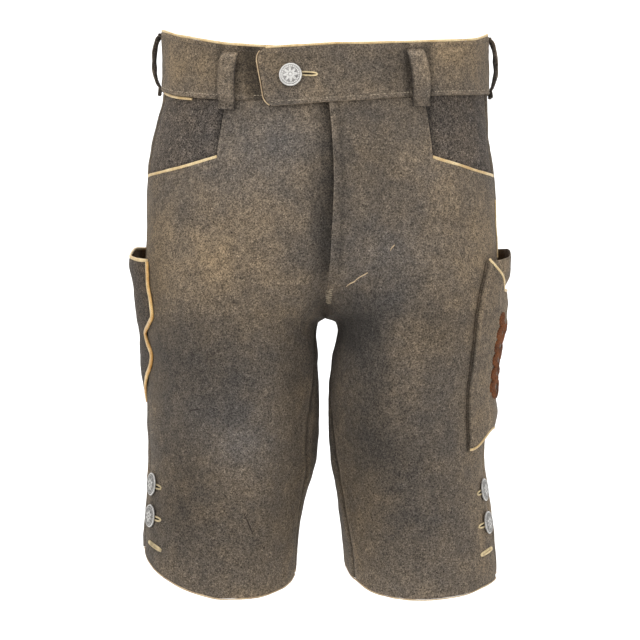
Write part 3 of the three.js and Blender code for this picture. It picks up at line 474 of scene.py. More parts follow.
def suede_finish(name, cool, warm, depth=0.0, nap=1.0):
    """Napped suede with a cloudy dye. Each term of the sum makes it paler or darker by that many halvings."""
    material, tree, shader, place = new_finish(name)
    clouds, blots = noise(tree, place, 13, 3, 0.55, 0.4), noise(tree, place, 48, 4, 0.6)
    nap_cloud = noise(tree, place, 190, 3, 0.6)
    specks, grit = noise(tree, place, 780, 2, 0.7), noise(tree, place, 1800, 1, 0.6)
    # the tone attribute holds the hide's mottling and the painted shade and light of each piece
    tone = linked(tree, "ShaderNodeAttribute", attribute_name="tone").outputs["Fac"]
    warmth = linked(tree, "ShaderNodeAttribute", attribute_name="warmth").outputs["Fac"]

    def sum_of(*terms):
        total = None
        for value, factor, shift in terms:
            step = linked(tree, "ShaderNodeMath", {0: value, 1: factor, 2: shift},
                          operation="MULTIPLY_ADD").outputs[0]
            if total is not None:
                step = linked(tree, "ShaderNodeMath", {0: total, 1: step}, operation="ADD").outputs[0]
            total = step
        return total

    pit = ranged(tree, cell_distance(tree, place, 420), 0.12, 0.5, -0.8, 0.22)
    halvings = sum_of((clouds, 1.1, -0.55), (blots, 1.3, -0.65), (nap_cloud, 1.5 * nap, -0.75 * nap),
                      (specks, 3.8 * nap, -1.9 * nap), (grit, 3.4 * nap, -1.7 * nap), (pit, nap, 0.1),
                      (tone, 1.0, depth))
    strength = linked(tree, "ShaderNodeMath", {0: 2.0, 1: halvings}, operation="POWER").outputs[0]
    share = linked(tree, "ShaderNodeMath",
                   {0: sum_of((clouds, 0.9, -0.45), (blots, 0.7, -0.35), (warmth, 0.5, 0.5)), 1: 0.0},
                   operation="MAXIMUM", use_clamp=True).outputs[0]
    dyed = mixed(tree, share, (*cool, 1), (*warm, 1))
    shaded = mixed(tree, 1.0, dyed, strength, "MULTIPLY")
    pore = ranged(tree, cell_distance(tree, place, 58), 0.045, 0.085, 0.4, 1.0)
    tree.links.new(mixed(tree, 1.0, shaded, pore, "MULTIPLY"), shader.inputs["Base Color"])
    tree.links.new(ranged(tree, blots, 0.3, 0.7, 0.86, 0.99), shader.inputs["Roughness"])
    relief = sum_of((specks, 1.0, 0.0), (grit, 0.6, 0.0), (nap_cloud, 0.9, 0.0), (blots, 0.8, 0.0))
    bump = linked(tree, "ShaderNodeBump", {"Height": relief, "Strength": 0.45, "Distance": 0.0008})
    tree.links.new(bump.outputs["Normal"], shader.inputs["Normal"])
    shader.inputs["Specular IOR Level"].default_value = 0.2
    shader.inputs["Sheen Weight"].default_value = 0.06
    shader.inputs["Sheen Roughness"].default_value = 0.6
    shader.inputs["Sheen Tint"].default_value = (0.7, 0.62, 0.54, 1)
    return material


suede = suede_finish("suede", (0.112, 0.099, 0.088), (0.150, 0.110, 0.068), -0.46, 1.15)
inside = suede_finish("suede_inside", (0.15, 0.11, 0.075), (0.175, 0.12, 0.07), -0.1, 0.6)
cut_edge = suede_finish("suede_cut_edge", (0.21, 0.17, 0.125), (0.25, 0.185, 0.11), 0.0, 0.6)

# s round the band, its upper and lower edge: s is t on the left, 2 - t on the right, under 0 on the tab
band_edges = [(-0.16, 5, -51), (0, 9, -46), (0.2, 13, -39), (0.36, 19, -34), (0.5, 29, -29), (1, 24, -32),
              (1.5, 33, -25), (1.66, 21, -36), (1.8, 10, -42), (2, 4, -44)]
fly_end = -222
fly_edges = [(-30, 1), (-70, 6), (-115, 8), (-165, 6), (-224, 3), (CROTCH, 0)]
front_hems = {
    RIGHT: [(-0.02, -498), (0.04, -506), (0.1, -516), (0.18, -522.5), (0.24, -523), (0.28, -519),
            (0.32, -513), (0.36, -505), (0.4, -496), (0.43, -488), (0.45, -479)],
    LEFT: [(-0.02, -496), (0.04, -501), (0.08, -508), (0.15, -520), (0.24, -524), (0.31, -521), (0.38, -514),
           (0.45, -508)],
}


def band_edge(s, which):
    return table_value(band_edges, s)[..., 0 if which == "top" else 1]


def round_place(side, t):
    return np.where(np.asarray(side) == LEFT, t, 2 - t)


def under_band(side, t):
    return band_edge(round_place(side, np.clip(t, 0, 1)), "bottom") + 7


def inseam_turn(side, z):
    return np.where(z > CROTCH, 0, table_value(inseam_turns[side], z)[..., 0])


def front_hem(side, t):
    return table_value(front_hems[side], t)[..., 0]


def place_at(side, x, z):
    """t of the places on the front that are x mm from the middle, at the heights z."""
    low, high = np.zeros(z.shape), np.full(z.shape, 0.5)
    for _ in range(24):
        middle = (low + high) / 2
        short = side * on_form(side, middle, z)[..., 0] < x
        low, high = np.where(short, middle, low), np.where(short, high, middle)
    return low


def mouth_start(side, z):
    """t of the pocket mouth's inner edge: 97 mm from the middle at the band, 104 at its corner."""
    z = np.atleast_1d(np.asarray(z, float))
    return place_at(side, between(97, 104, eased((-40 - z) / 60)), z)


mouth_corner = {side: float(mouth_start(side, MOUTH_CORNER)[0]) for side in (LEFT, RIGHT)}


def mouth_height(side, t):
    u = np.clip((t - mouth_corner[side]) / (SIDE_SEAM - mouth_corner[side]), 0, 1)
    return MOUTH_CORNER - 14.5 * (1 - (1 - u) ** 2)


def fly_edge(z):
    return np.where(z > CROTCH, table_value(fly_edges, z)[..., 0] / FRONT_RUN, 0)


def panel_heights():
    """Heights down a panel, pocket mouth to hem, closer together round the crotch."""
    trunk = np.linspace(BELOW_MOUTH, -225, 42)
    fork = CROTCH + 26 * np.cos(np.linspace(0, math.pi / 2, 24))[1:]
    fork[-1] = CROTCH + 0.05
    leg = CROTCH - 0.05 - 18 * (1 - np.cos(np.linspace(0, math.pi / 2, 12)))[1:]
    return np.concatenate([trunk, fork, leg, np.linspace(leg[-1] - 2.6, ABOVE_HEM, 74)])


def seam_dip(distance, depth=1.5, reach=3.2):
    return -depth * np.exp(-((distance / reach) ** 2))


def near(distance, reach):
    return np.exp(-((distance / reach) ** 2))


def front_piece(side):
    columns, mouth_columns, rise, tail = 60, 44, 26, 24
    down = panel_heights()
    kinds = [("rise", v) for v in np.linspace(0, 1, rise, endpoint=False)] + [("mouth", 0)]
    kinds += [("drop", v) for v in np.linspace(0, 1, 8)[1:]] + [("level", z) for z in down[1:]]
    kinds += [("hem", v) for v in np.linspace(0, 1, tail)[1:]]
    ts, zs = [], []
    for kind, value in kinds:
        level = {"rise": between(-39, MOUTH_CORNER, value), "mouth": MOUTH_CORNER,
                 "drop": between(MOUTH_CORNER, BELOW_MOUTH, value),
                 "hem": between(ABOVE_HEM, HEM, value)}.get(kind, value)
        corner = mouth_start(side, max(level, MOUTH_CORNER - 1))[0]
        lap = float(fly_edge(np.array(level))) * (1 if side == LEFT else -1)
        start = (lap if level > CROTCH else float(inseam_turn(side, np.array(level)))) - seam_lap
        t = np.concatenate([between(start, corner, np.linspace(0, 1, columns)),
                            between(corner, SIDE_SEAM + seam_lap, np.linspace(0, 1, mouth_columns))[1:]])
        mouth = np.where(np.arange(len(t)) >= columns, mouth_height(side, t), MOUTH_CORNER)
        if kind == "rise":
            z = between(under_band(side, t), MOUTH_CORNER, value)
        elif kind == "mouth":
            z = mouth
        elif kind == "drop":
            z = between(mouth, BELOW_MOUTH, value)
        elif kind == "hem":
            z = between(ABOVE_HEM, front_hem(side, t), value)
        else:
            z = np.full(len(t), value)
        ts.append(t)
        zs.append(z)
    t, z = np.array(ts), np.array(zs)
    across = (t - t[:, :1]) * FRONT_RUN
    lift = seam_dip((t[:, -1:] - t) * SIDE_RUN) + np.where(z < CROTCH, seam_dip(across), 0)
    fly = eased((z - fly_end) / 20)
    if side == LEFT:
        lift = lift + fly * (2.9 * eased(1 - across / 26) - 0.3 * np.exp(-(((across - 9) / 3.0) ** 2)))
    else:
        lift = lift - fly * (1.2 * np.exp(-((across / 16) ** 2)))
    # Painted shade in the seam grooves at the side and along the inner leg, with a painted highlight on the
    # ridge beside the inner-leg seam. At the fly: the left lap's edge is rubbed paler, with painted shade in
    # its stitch groove 9 mm in, and the lap casts a painted shadow on the right front. The pocket mouth's
    # inner edge is paler: rubbing and a painted highlight.
    at_side, on_leg = (t[:, -1:] - t) * SIDE_RUN, eased((CROTCH - z) / 12)
    shade = -1.0 * near(at_side, 2.2) - on_leg * (1.1 * near(across, 2.0) - 0.4 * near(across - 5, 3.0))
    if side == LEFT:
        shade = shade + fly * (0.5 * near(across, 1.6) - 0.5 * near(across - 9, 2.2))
    else:
        shade = shade - fly * 1.25 * near(across - 3, 7)
    shade = shade + 0.45 * near((t - mouth_corner[side]) * FRONT_RUN, 1.8) * eased((z + 100) / 4)
    points, normals = lay(side, t, z, lift)
    keep = np.ones((t.shape[0] - 1, t.shape[1] - 1), bool)
    keep[:rise, columns - 1:] = False
    word = "left" if side == LEFT else "right"
    piece = cut_cloth("front_" + word + "_suede", points, normals, thickness["panel"],
                      [suede, inside, cut_edge], keep, shade=shade)
    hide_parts("front_" + word)
    return t[-1]


front_hem_t = {side: front_piece(side) for side in (LEFT, RIGHT)}

# ---- Backs ----------------------------------------------------------------------------------
# Two suede panels joined by the seat seam, the side seams and the inner-leg seams. Their edges are
# turned under at the seams, so each seam lies in a shallow groove.
back_hems = {RIGHT: (-478, -490, -498, -506), LEFT: (-504, -500, -497, -508)}


def back_hem(side, t):
    rows = list(zip((SIDE_SEAM, 0.72, 1, 1.05 if side == RIGHT else 1.078), back_hems[side]))
    return table_value(rows, t)[..., 0]


back_hem_t = {}
for side, word in both_sides:
    levels = [("band", v) for v in np.linspace(0, 1, 34)] + [("level", z) for z in panel_heights()[1:]]
    levels += [("hem", v) for v in np.linspace(0, 1, 15)[1:]]
    ts, zs = [], []
    for kind, value in levels:
        level = {"band": between(-30, BELOW_MOUTH, value),
                 "hem": between(ABOVE_HEM, HEM, value)}.get(kind, value)
        middle = 1 + float(inseam_turn(side, np.array(level)))
        t = between(SIDE_SEAM - seam_lap, middle + seam_lap, np.linspace(0, 1, 104))
        if kind == "band":
            z = between(under_band(side, t), BELOW_MOUTH, value)
        elif kind == "hem":
            z = between(ABOVE_HEM, back_hem(side, t), value)
        else:
            z = np.full(len(t), value)
        ts.append(t)
        zs.append(z)
    t, z = np.array(ts), np.array(zs)
    from_side, from_middle = (t - t[:, :1]) * SIDE_RUN, (t[:, -1:] - t) * SIDE_RUN
    points, normals = lay(side, t, z, seam_dip(from_side) + seam_dip(from_middle))
    # painted shade in the seam grooves at the side and the middle, and a painted highlight on the ridge
    # beside the middle seam
    shade = -1.0 * near(from_side, 2.2) - 1.1 * near(from_middle, 2.2) + 0.3 * near(from_middle - 5, 2.5)
    piece = cut_cloth("back_" + word + "_suede", points, normals, thickness["panel"],
                      [suede, inside, cut_edge], shade=shade)
    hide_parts("back_" + word)
    back_hem_t[side] = t[-1]

# ---- Pocket facings -------------------------------------------------------------------------
# The darker pieces that show in the two slanting pocket mouths. They hang from the waistband behind
# the fronts and are less worn than the rest.
dark_suede = suede_finish("dark_suede", (0.092, 0.082, 0.076), (0.112, 0.084, 0.058), -0.92, 1.7)
for side, word in both_sides:
    v, u = grid(46, 46)
    t = between(mouth_corner[side] - 0.045, SIDE_SEAM - 0.0007, u)
    low = mouth_height(side, t) - 14
    z = between(under_band(side, t), low, v)
    points, normals = lay(side, t, z, -layer)
    # painted shadow of the fronts' edges on the facing, along the mouth's inner edge and under the mouth
    shade = -1.2 * near((t - mouth_corner[side]) * FRONT_RUN, 4) - 1.0 * near(z - mouth_height(side, t), 4)
    piece = cut_cloth("facing_" + word, points, normals, thickness["panel"], [dark_suede, inside, cut_edge],
                      shade=shade)
    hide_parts("pocket_facing_" + word)

# ---- Strips under the fly and under the leg slits -------------------------------------------
# Three plain strips behind the fronts: one closes the fly, two carry the leg buttons.
v, u = grid(60, 22, -0.05, 0.045)
points, normals = lay(LEFT, u, between(-36, -205, v), -layer - 1)
piece = cut_cloth("fly_strip", points, normals, thickness["panel"], [dark_suede, inside, cut_edge])
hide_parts("fly_underlap")
for side, word in both_sides:
    v, u = grid(50, 16, 0.378, SIDE_SEAM - 0.001)
    low = front_hem(side, u) + 7
    points, normals = lay(side, u, between(-386, low, v), -layer - 0.3)
    piece = cut_cloth("slit_strip_" + word, points, normals, thickness["panel"], [suede, inside, cut_edge])
    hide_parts("slit_underlap_" + word)

# ---- Waistband ------------------------------------------------------------------------------
# A strip of suede doubled over, sewn on over the panels' upper edges. Its left end is the tab with
# round corners, which laps over the right front and buttons there.
under_end = 1.955
over_panel = 2.7  # the band's face above the panels' form, and the tab's above the band
tab_reach, tab_slant, tab_corner = 0.152, 0.026, 0.022  # shares of the band's run


def tab_end(v):
    into = np.maximum(0, np.abs(v - 0.5) - 0.28) / 0.22
    return -tab_reach + tab_slant * (1 - v) + tab_corner * (1 - np.sqrt(1 - into * into * 0.96))


def band_lift(s):
    return over_panel + over_panel * eased((0.1 - s) / 0.09)


def lay_round(s, z, lift):
    s = np.asarray(s, float)
    side = np.where((s < 0) | (s > 1), RIGHT, LEFT)
    return lay(side, np.where(s < 0, -s, np.where(s > 1, 2 - s, s)), z, lift)


v = np.concatenate([[0, 0.012], np.linspace(0.03, 0.97, 24), [0.988, 1]])
s = np.array([np.concatenate([between(tab_end(h), 0.1, np.linspace(0, 1, 60)),
                              np.linspace(0.1, under_end, 400)[1:]]) for h in v])
height = np.broadcast_to(v[:, None], s.shape)
low, top = band_edge(s, "bottom"), band_edge(s, "top")
z = between(low, top, height)
from_low, from_top = (z - low), (top - z)
sewn = -0.35 * np.exp(-(((from_low - 4) / 1.3) ** 2)) - 0.35 * np.exp(-(((from_top - 4.5) / 1.3) ** 2))
from_end = (s - tab_end(height)) * FRONT_RUN
sewn = sewn - 0.35 * np.exp(-(((from_end - 4) / 1.3) ** 2))
sewn = sewn + 0.25 * np.sin(s * 90) * np.exp(-(((from_low - 14) / 12) ** 2))
points, normals = lay_round(s, z, band_lift(s) + sewn)
beyond_tab = (2 - s - tab_reach + tab_slant * (1 - height)) * FRONT_RUN
# the band is rubbed paler along its lower and upper edges and at the tab's end; the tab casts a painted
# shadow on the band just beyond its end
shade = 0.3 * near(from_low - 2.5, 2.2) + 0.2 * near(from_top - 1.5, 1.6)
shade = shade + 0.35 * near(from_end, 2) - 1.75 * near(beyond_tab - 8, 11)
loop_edge = 0.024  # painted shadow of the loops on the band just beside them, and dirt where it is rubbed less
for beside in (1.788 - loop_edge, 0.205 - loop_edge, 0.205 + loop_edge, 1.0 - loop_edge, 1.0 + loop_edge):
    shade = shade - 0.9 * near((s - beside) * FRONT_RUN, 4)
piece = cut_cloth("waistband_suede", points, normals, thickness["band"], [suede, inside, cut_edge],
                  rounding=0.5, shade=shade)
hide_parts("waistband")

# ---- Light edge piping ----------------------------------------------------------------------
# Narrow folded strips of undyed leather, butter-coloured and glossy where rubbed: round the
# band's upper edge, down the tab's end, along the pocket mouths and hems, and in the left side seam.


def leather_finish(name, pale, deep, gloss=0.5):
    material, tree, shader, place = new_finish(name)
    stain, grain = noise(tree, place, 60, 4, 0.6), noise(tree, place, 900, 2)
    colour = mixed(tree, ranged(tree, stain, 0.34, 0.68, 0.0, 1.0), (*pale, 1), (*deep, 1))
    specked = mixed(tree, 1.0, colour, ranged(tree, grain, 0.3, 0.7, 0.72, 1.12), "MULTIPLY")
    tree.links.new(specked, shader.inputs["Base Color"])
    bump = linked(tree, "ShaderNodeBump", {"Height": grain, "Strength": 0.35, "Distance": 0.0004})
    tree.links.new(bump.outputs["Normal"], shader.inputs["Normal"])
    shader.inputs["Roughness"].default_value = gloss
    return material


butter = leather_finish("light_leather", (0.78, 0.62, 0.36), (0.55, 0.36, 0.15))
amber = leather_finish("amber_leather", (0.74, 0.49, 0.19), (0.53, 0.25, 0.05))
raw_edge = leather_finish("raw_hem_edge", (0.62, 0.47, 0.28), (0.36, 0.25, 0.15), 0.7)


def edge_strip(name, points, normals, width, thick, material, node=None, aside=0.0, wobble=0.12):
    """A rounded strip along a line of places, its top at the places."""
    points, normals = np.asarray(points), np.asarray(normals)
    along = unit(np.gradient(points, axis=0))
    across = unit(np.cross(along, normals))
    count = 12
    a = np.linspace(0, 2 * math.pi, count, endpoint=False)
    uneven = np.random.default_rng(len(name) * 7 + len(points))
    marks = np.arange(0, len(points) + 6, 6)
    swell = 1 + np.interp(np.arange(len(points)), marks, uneven.uniform(-wobble, wobble, len(marks)))
    sweep_across = powered(np.cos(a), 0.7) * width / 2
    sweep_up = powered(np.sin(a), 0.8) * thick / 2 - thick / 2
    ring = (points[:, None] + across[:, None] * (sweep_across[None, :, None] * swell[:, None, None] + aside)
            + normals[:, None] * sweep_up[None, :, None])
    n = len(points)
    number = np.arange(n * count).reshape(n, count)
    after = np.roll(number, -1, axis=1)
    faces = np.stack([number[:-1], after[:-1], after[1:], number[1:]], axis=-1).reshape(-1, 4)
    all_points = ring.reshape(-1, 3)
    centres = np.array([ring[0].mean(axis=0), ring[-1].mean(axis=0)])
    all_faces = [tuple(f[::-1]) for f in faces]
    for j in range(count):
        k = (j + 1) % count
        all_faces += [(number[0, j], number[0, k], n * count), (number[-1, k], number[-1, j], n * count + 1)]
    # faces are turned so that they look away from the strip's middle
    f = faces[len(faces) // 2]
    corner = all_points[f]
    away = corner.mean(axis=0) - ring[f[0] // count].mean(axis=0)
    facing = np.dot(np.cross(corner[1] - corner[0], corner[2] - corner[0]), away)
    if facing > 0:
        all_faces = [tuple(g[::-1]) for g in all_faces]
    piece = make_piece(name, np.vstack([all_points, centres]), all_faces, [material], crisp=50)
    if node:
        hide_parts(node)
    return piece


s = np.concatenate([np.linspace(tab_end(1.0) + 0.004, 0.1, 60), np.linspace(0.1, under_end, 330)[1:]])
edge_strip("band_piping", *lay_round(s, band_edge(s, "top") + 1.35, band_lift(s) - 0.25), 2.6, 2.2, butter,
           "waistband_piping")
v = np.linspace(0.975, 0.02, 60)
s = tab_end(v) - 0.0036
z = between(band_edge(s, "bottom"), band_edge(s, "top"), v)
edge_strip("tab_edge", *lay_round(s, z, band_lift(s) - 0.9), 1.3, 1.8, raw_edge, "tab_piping")
for side, word in both_sides:
    t = np.linspace(mouth_corner[side] + 0.001, SIDE_SEAM - 0.001, 60)
    edge_strip("mouth_piping_" + word, *lay(side, t, mouth_height(side, t) + 1.3, 0.35), 2.9, 2.1, butter,
               "pocket_piping_" + word)
    t = front_hem_t[side]
    edge_strip("front_hem_edge_" + word, *lay(side, t, front_hem(side, t) - 0.9, -0.1), 1.5, 1.6, raw_edge,
               "hem_piping_front_" + word, wobble=0.3)
    t = back_hem_t[side]
    edge_strip("back_hem_edge_" + word, *lay(side, t, back_hem(side, t) - 0.9, -0.1), 1.5, 1.6, raw_edge,
               "hem_piping_back_" + word, wobble=0.3)
t = np.linspace(0.31, SIDE_SEAM - 0.003, 30)
edge_strip("watch_pocket_edge", *lay(RIGHT, t, band_edge(2 - t, "bottom") - 1.6, 0.3), 2.7, 1.7, butter,
           "watch_pocket_piping")
z = np.linspace(-135, -192, 40)
edge_strip("side_seam_edge", *lay(LEFT, np.full(40, SIDE_SEAM - 0.0012), z, 0.9), 1.5, 1.4, butter,
           "side_seam_piping")

# ---- Belt loops -----------------------------------------------------------------------------
# Five strips of suede, folded double, sewn to the band at both ends. Each stands off in a long
# arch with its upper end bent over.
loops = [  # node, s, width, how far it stands off, sewn how far under the band's top, over its bottom, lean
    ("belt_loop_front_right", 1.788, 17, 8.5, 7, 10, -0.002),
    ("belt_loop_front_left", 0.205, 18, 7.5, 7, 10, 0.011),
    ("belt_loop_side_right", 1.5, 17, 7.5, 1, 5, 0.0), ("belt_loop_side_left", 0.5, 17, 6, 1, 4, 0.0),
    ("belt_loop_back", 1.0, 18, 7.5, 5, 8, 0.0),
]
for node, s0, width, stand, under, below, lean in loops:
    v, u = grid(64, 16, -1, 1)
    s = s0 + u * width / 2 / FRONT_RUN + lean * (v - 0.5)
    top, low = band_edge(s, "top") - under, band_edge(s, "bottom") - below
    arch = np.sin(math.pi * np.clip((v - 0.04) / 0.82, 0, 1)) ** 0.55
    curl = 0.5 * np.cos(u * 2.2)
    lift = over_panel + 0.3 + thickness["loop"] + stand * arch + curl * arch + 0.25 * np.sin(v * 23 + u * 2)
    points, normals = lay_round(s, between(top, low, v), lift)
    # painted light on the loop's face and its upper bend, painted shade along its sides and at its lower end;
    # its inside and cut edges take the darker suede as painted shade
    shade = 0.25 - 0.9 * near(np.abs(u) - 1, 0.12) - 0.5 * near(v - 0.93, 0.05) + 0.2 * near(v - 0.08, 0.06)
    piece = cut_cloth(node + "_suede", points, normals, thickness["loop"] + 1.2,
                      [suede, dark_suede, dark_suede], rounding=0.8, shade=shade)
    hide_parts(node)

# ---- Knife pocket ---------------------------------------------------------------------------
# A narrow patch pocket on the side of the right leg. Its mouth gapes, its front edge is cut in two
# waves, and amber piping runs round the edge.
# height, t of the front and back edge, how far it stands off
knife_pocket = [(-183, 0.402, 0.655, 13.5), (-197, 0.398, 0.66, 13.5), (-215, 0.396, 0.662, 9.5),
                (-249, 0.386, 0.668, 6.5), (-268, 0.452, 0.64, 5), (-288, 0.409, 0.656, 4),
                (-318, 0.47, 0.615, 2.6), (-334, 0.52, 0.58, 2)]


def crown(u):
    rise = np.clip(np.minimum(u, 1 - u) / 0.27, 0, 1)
    return 0.4 * np.sin(math.pi / 2 * rise) + 0.6 * rise


def on_pocket(side, table, u, z, extra=0.0):
    start, end, stand = np.moveaxis(table_value(table, z), -1, 0)
    return lay(side, between(start, end, u), z, 0.7 + thickness["pocket"] + stand * crown(u) + extra)


def pocket_mouth(side, u):
    low, high = (-197, -183) if side == RIGHT else (-197, -182)
    return between(low, high, eased(u * 1.4))


lining = suede_finish("pocket_inside", (0.10, 0.06, 0.03), (0.13, 0.07, 0.028), 0.0, 0.6)
v, u = grid(72, 66)
z = between(pocket_mouth(RIGHT, u), -334, v)
points, normals = on_pocket(RIGHT, knife_pocket, u, z, 0.35 * np.sin(v * 17 + u * 5) * crown(u))
piece = cut_cloth("knife_pocket_suede", points, normals, thickness["pocket"], [dark_suede, lining, cut_edge],
                  rounding=0.5)
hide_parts("knife_pocket")
z = np.linspace(-197.5, -333, 110)
start = table_value(knife_pocket, z)[:, 0]
edge_strip("knife_front_piping", *lay(RIGHT, start, z, 2.7), 2.5, 2.4, amber, "knife_pocket_piping",
           aside=-2.6)
edge_strip("knife_front_welt", *lay(RIGHT, start, z, 3.1), 2.1, 2.2, butter, aside=-0.5)
u = np.linspace(0.0, 0.98, 60)
edge_strip("knife_mouth_edge", *on_pocket(RIGHT, knife_pocket, u, pocket_mouth(RIGHT, u) + 1.2, 0.35),
           3.4, 2.5, butter, "knife_mouth_piping")

# ---- Wide side pocket -----------------------------------------------------------------------
# A patch pocket on the side of the left leg, open at the top, with a second layer of suede whose
# upper and lower edges are notched and piped. An embroidered sprig sits in the middle of it.
# height, t of the front and back edge, how far it stands off
wide_pocket = [(-183, 0.36, 0.63, 11.5), (-209, 0.336, 0.63, 10), (-224, 0.329, 0.63, 5),
               (-238, 0.328, 0.63, 7), (-249, 0.33, 0.63, 7.2), (-279, 0.339, 0.63, 3.6),
               (-304, 0.344, 0.63, 2.6), (-330, 0.35, 0.63, 2.2), (-347, 0.354, 0.63, 4.4),
               (-360, 0.359, 0.63, 3), (-382, 0.364, 0.63, 1.6)]
overlay_out = 2.8


def wide_bottom(u):
    return -382 + 20 * eased(np.minimum(u, 1 - u) / 0.3)


def overlay_top(u):
    return -197 - 29 * np.clip(np.minimum(u, 1 - u) / 0.31, 0, 1) ** 0.9


v, u = grid(84, 66)
z = between(pocket_mouth(LEFT, u), wide_bottom(u), v)
points, normals = on_pocket(LEFT, wide_pocket, u, z)
worn = 0.35 * near(np.abs(u - 0.5) - 0.3, 0.012) - 0.6 * near(np.minimum(u, 1 - u), 0.008)
piece = cut_cloth("wide_pocket_suede", points, normals, thickness["pocket"], [suede, lining, suede],
                  rounding=0.5, shade=worn)
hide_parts("cargo_pocket")
v, u = grid(74, 66)
z = between(overlay_top(u), wide_bottom(u) + 4, v)
seam = seam_dip(u * 120, 0.7, 2.2) + seam_dip((1 - u) * 120, 0.7, 2.2)
points, normals = on_pocket(LEFT, wide_pocket, u, z, overlay_out + seam)
from_edge = np.minimum(u, 1 - u)
worn = 0.6 * near(np.abs(u - 0.5) - 0.3, 0.009) + 0.3 * near(from_edge - 0.02, 0.008)
worn = worn - 0.9 * near(from_edge, 0.007)
piece = cut_cloth("pocket_overlay_suede", points, normals, thickness["panel"], [suede, inside, suede],
                  shade=worn)
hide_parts("cargo_overlay")
u = np.linspace(0.0, 1.0, 90)
edge_strip("overlay_top_piping", *on_pocket(LEFT, wide_pocket, u, overlay_top(u) + 1.6, overlay_out + 0.3),
           2.9, 1.8, butter, "overlay_piping_top")
edge_strip("overlay_bottom_piping", *on_pocket(LEFT, wide_pocket, u, wide_bottom(u) + 2.2, overlay_out + 0.3),
           2.6, 1.8, butter, "overlay_piping_bottom")

# ---- Embroidered sprig ----------------------------------------------------------------------
# A sprig of leaves and small buds in rust-brown satin stitch, sewn through the pocket's second
# layer. Each leaf is padded, so the threads stand about 2 mm proud.
rust, tree, shader, place = new_finish("rust_thread")
both = linked(tree, "ShaderNodeMath", {0: noise(tree, place, 700, 2), 1: noise(tree, place, 90, 2)},
              operation="ADD").outputs[0]
ramp = linked(tree, "ShaderNodeValToRGB", {"Fac": ranged(tree, both, 0.75, 1.25, 0.0, 1.0)})
ramp.color_ramp.elements[0].color = (0.04, 0.014, 0.006, 1)
ramp.color_ramp.elements[1].color = (0.19, 0.066, 0.022, 1)
tree.links.new(ramp.outputs["Color"], shader.inputs["Base Color"])
shader.inputs["Roughness"].default_value = 0.75
shader.inputs["Specular IOR Level"].default_value = 0.2

sprig_place, sprig_height, pocket_run = 0.49, -289, 133  # its middle across and up, the pocket's run in mm
leaf_rows = [  # across and up from the sprig's middle, length, width, angle from upright in degrees, mm
    (0, 26, 22, 9, 0), (-11, 18, 20, 9, 48), (11, 18, 20, 9, -48), (-13, 2, 22, 10, 62), (13, 2, 22, 10, -62),
    (-11, -14, 20, 9, 75), (11, -14, 20, 9, -75), (-8, -28, 18, 8, 118), (8, -28, 18, 8, -118),
    (0, -34, 16, 8, 180), (-19, 28, 9, 6, 30), (19, 28, 9, 6, -30), (-22, -22, 9, 6, 100),
    (22, -22, 9, 6, -100), (0, 8, 12, 7, 0),
]
# a garland of small leaves runs down each side, close to the pocket's soft ridges
leaf_rows += [(side * (34 - 4 * (i % 2)), 37 - 6.6 * i, 13, 9, side * (150 if i % 2 else -158))
              for side in (-1, 1) for i in range(12)]
leaf_points, leaf_faces = [], []
for across0, up0, length, width, angle in leaf_rows:
    rows, cols = 26, 13
    v, w = grid(rows, cols, -1, 1)
    half = width / 2 * np.sin(math.pi * (0.06 + 0.88 * v)) ** 0.75 * (1 + 0.1 * np.sin(v * 28))
    along, off = (v - 0.5) * length, w * half
    a = math.radians(angle)
    x = across0 + off * math.cos(a) - along * math.sin(a)
    up = up0 + off * math.sin(a) + along * math.cos(a)
    ribs = 0.22 * np.sin((v * length + np.abs(w) * 2.2) * 5.2)
    padding = 2.6 if abs(across0) > 25 else 1.9  # more under the garlands
    puff = (1 - w * w) ** 0.5 * padding * np.sin(math.pi * np.clip(v, 0.04, 0.96)) ** 0.4
    puff = puff - 0.6 * np.exp(-((w / 0.12) ** 2)) + ribs * (1 - w * w)
    u = np.clip(sprig_place + x / pocket_run, 0.05, 0.95)
    points, normals = on_pocket(LEFT, wide_pocket, u, sprig_height + up, overlay_out + 0.15 + puff)
    base = sum(len(p) for p in leaf_points)
    number = np.arange(rows * cols).reshape(rows, cols)
    n = rows * cols
    faces = np.stack([number[:-1, :-1], number[:-1, 1:], number[1:, 1:], number[1:, :-1]], axis=-1)
    faces = faces.reshape(-1, 4)
    below = (points - normals * (puff[..., None] + 0.05)).reshape(-1, 3)
    loop = np.concatenate([number[0, :-1], number[:-1, -1], number[-1, :0:-1], number[:0:-1, 0]])
    after = np.roll(loop, -1)
    walls = np.stack([after, loop, loop + n, after + n], axis=1)
    leaf_points += [points.reshape(-1, 3), below]
    leaf_faces.append(np.vstack([faces, faces[:, ::-1] + n, walls]) + base)
piece = make_piece("embroidered_leaves", np.vstack(leaf_points), np.vstack(leaf_faces), [rust], crisp=60)
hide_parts("embroidered_sprig")
sway = [0, -1.5, 1.5, -1, 0]
u = sprig_place + np.interp(np.linspace(0, 1, 50), np.linspace(0, 1, 5), sway) / pocket_run
z = sprig_height + np.linspace(-40, 24, 50)
piece = edge_strip("embroidered_stem", *on_pocket(LEFT, wide_pocket, u, z, overlay_out + 1.2), 2.4, 1.5,
                   rust, wobble=0.2)

# ---- Stitching ------------------------------------------------------------------------------
# Brown-grey thread, 3 mm stitches, along the band, the tab, the pockets and the seams. On the
# band's lower edge the thread is rubbed pale.


def thread_finish(name, colour):
    material, tree, shader, place = new_finish(name)
    worn = ranged(tree, noise(tree, place, 130, 3), 0.35, 0.65, 0.0, 1.0)
    dull = tuple(c * 0.5 for c in colour)
    tree.links.new(mixed(tree, worn, (*dull, 1), (*colour, 1)), shader.inputs["Base Color"])
    shader.inputs["Roughness"].default_value = 0.7
    return material


brown_thread = thread_finish("brown_thread", (0.12, 0.09, 0.065))
rubbed_thread = thread_finish("rubbed_thread", (0.46, 0.38, 0.27))


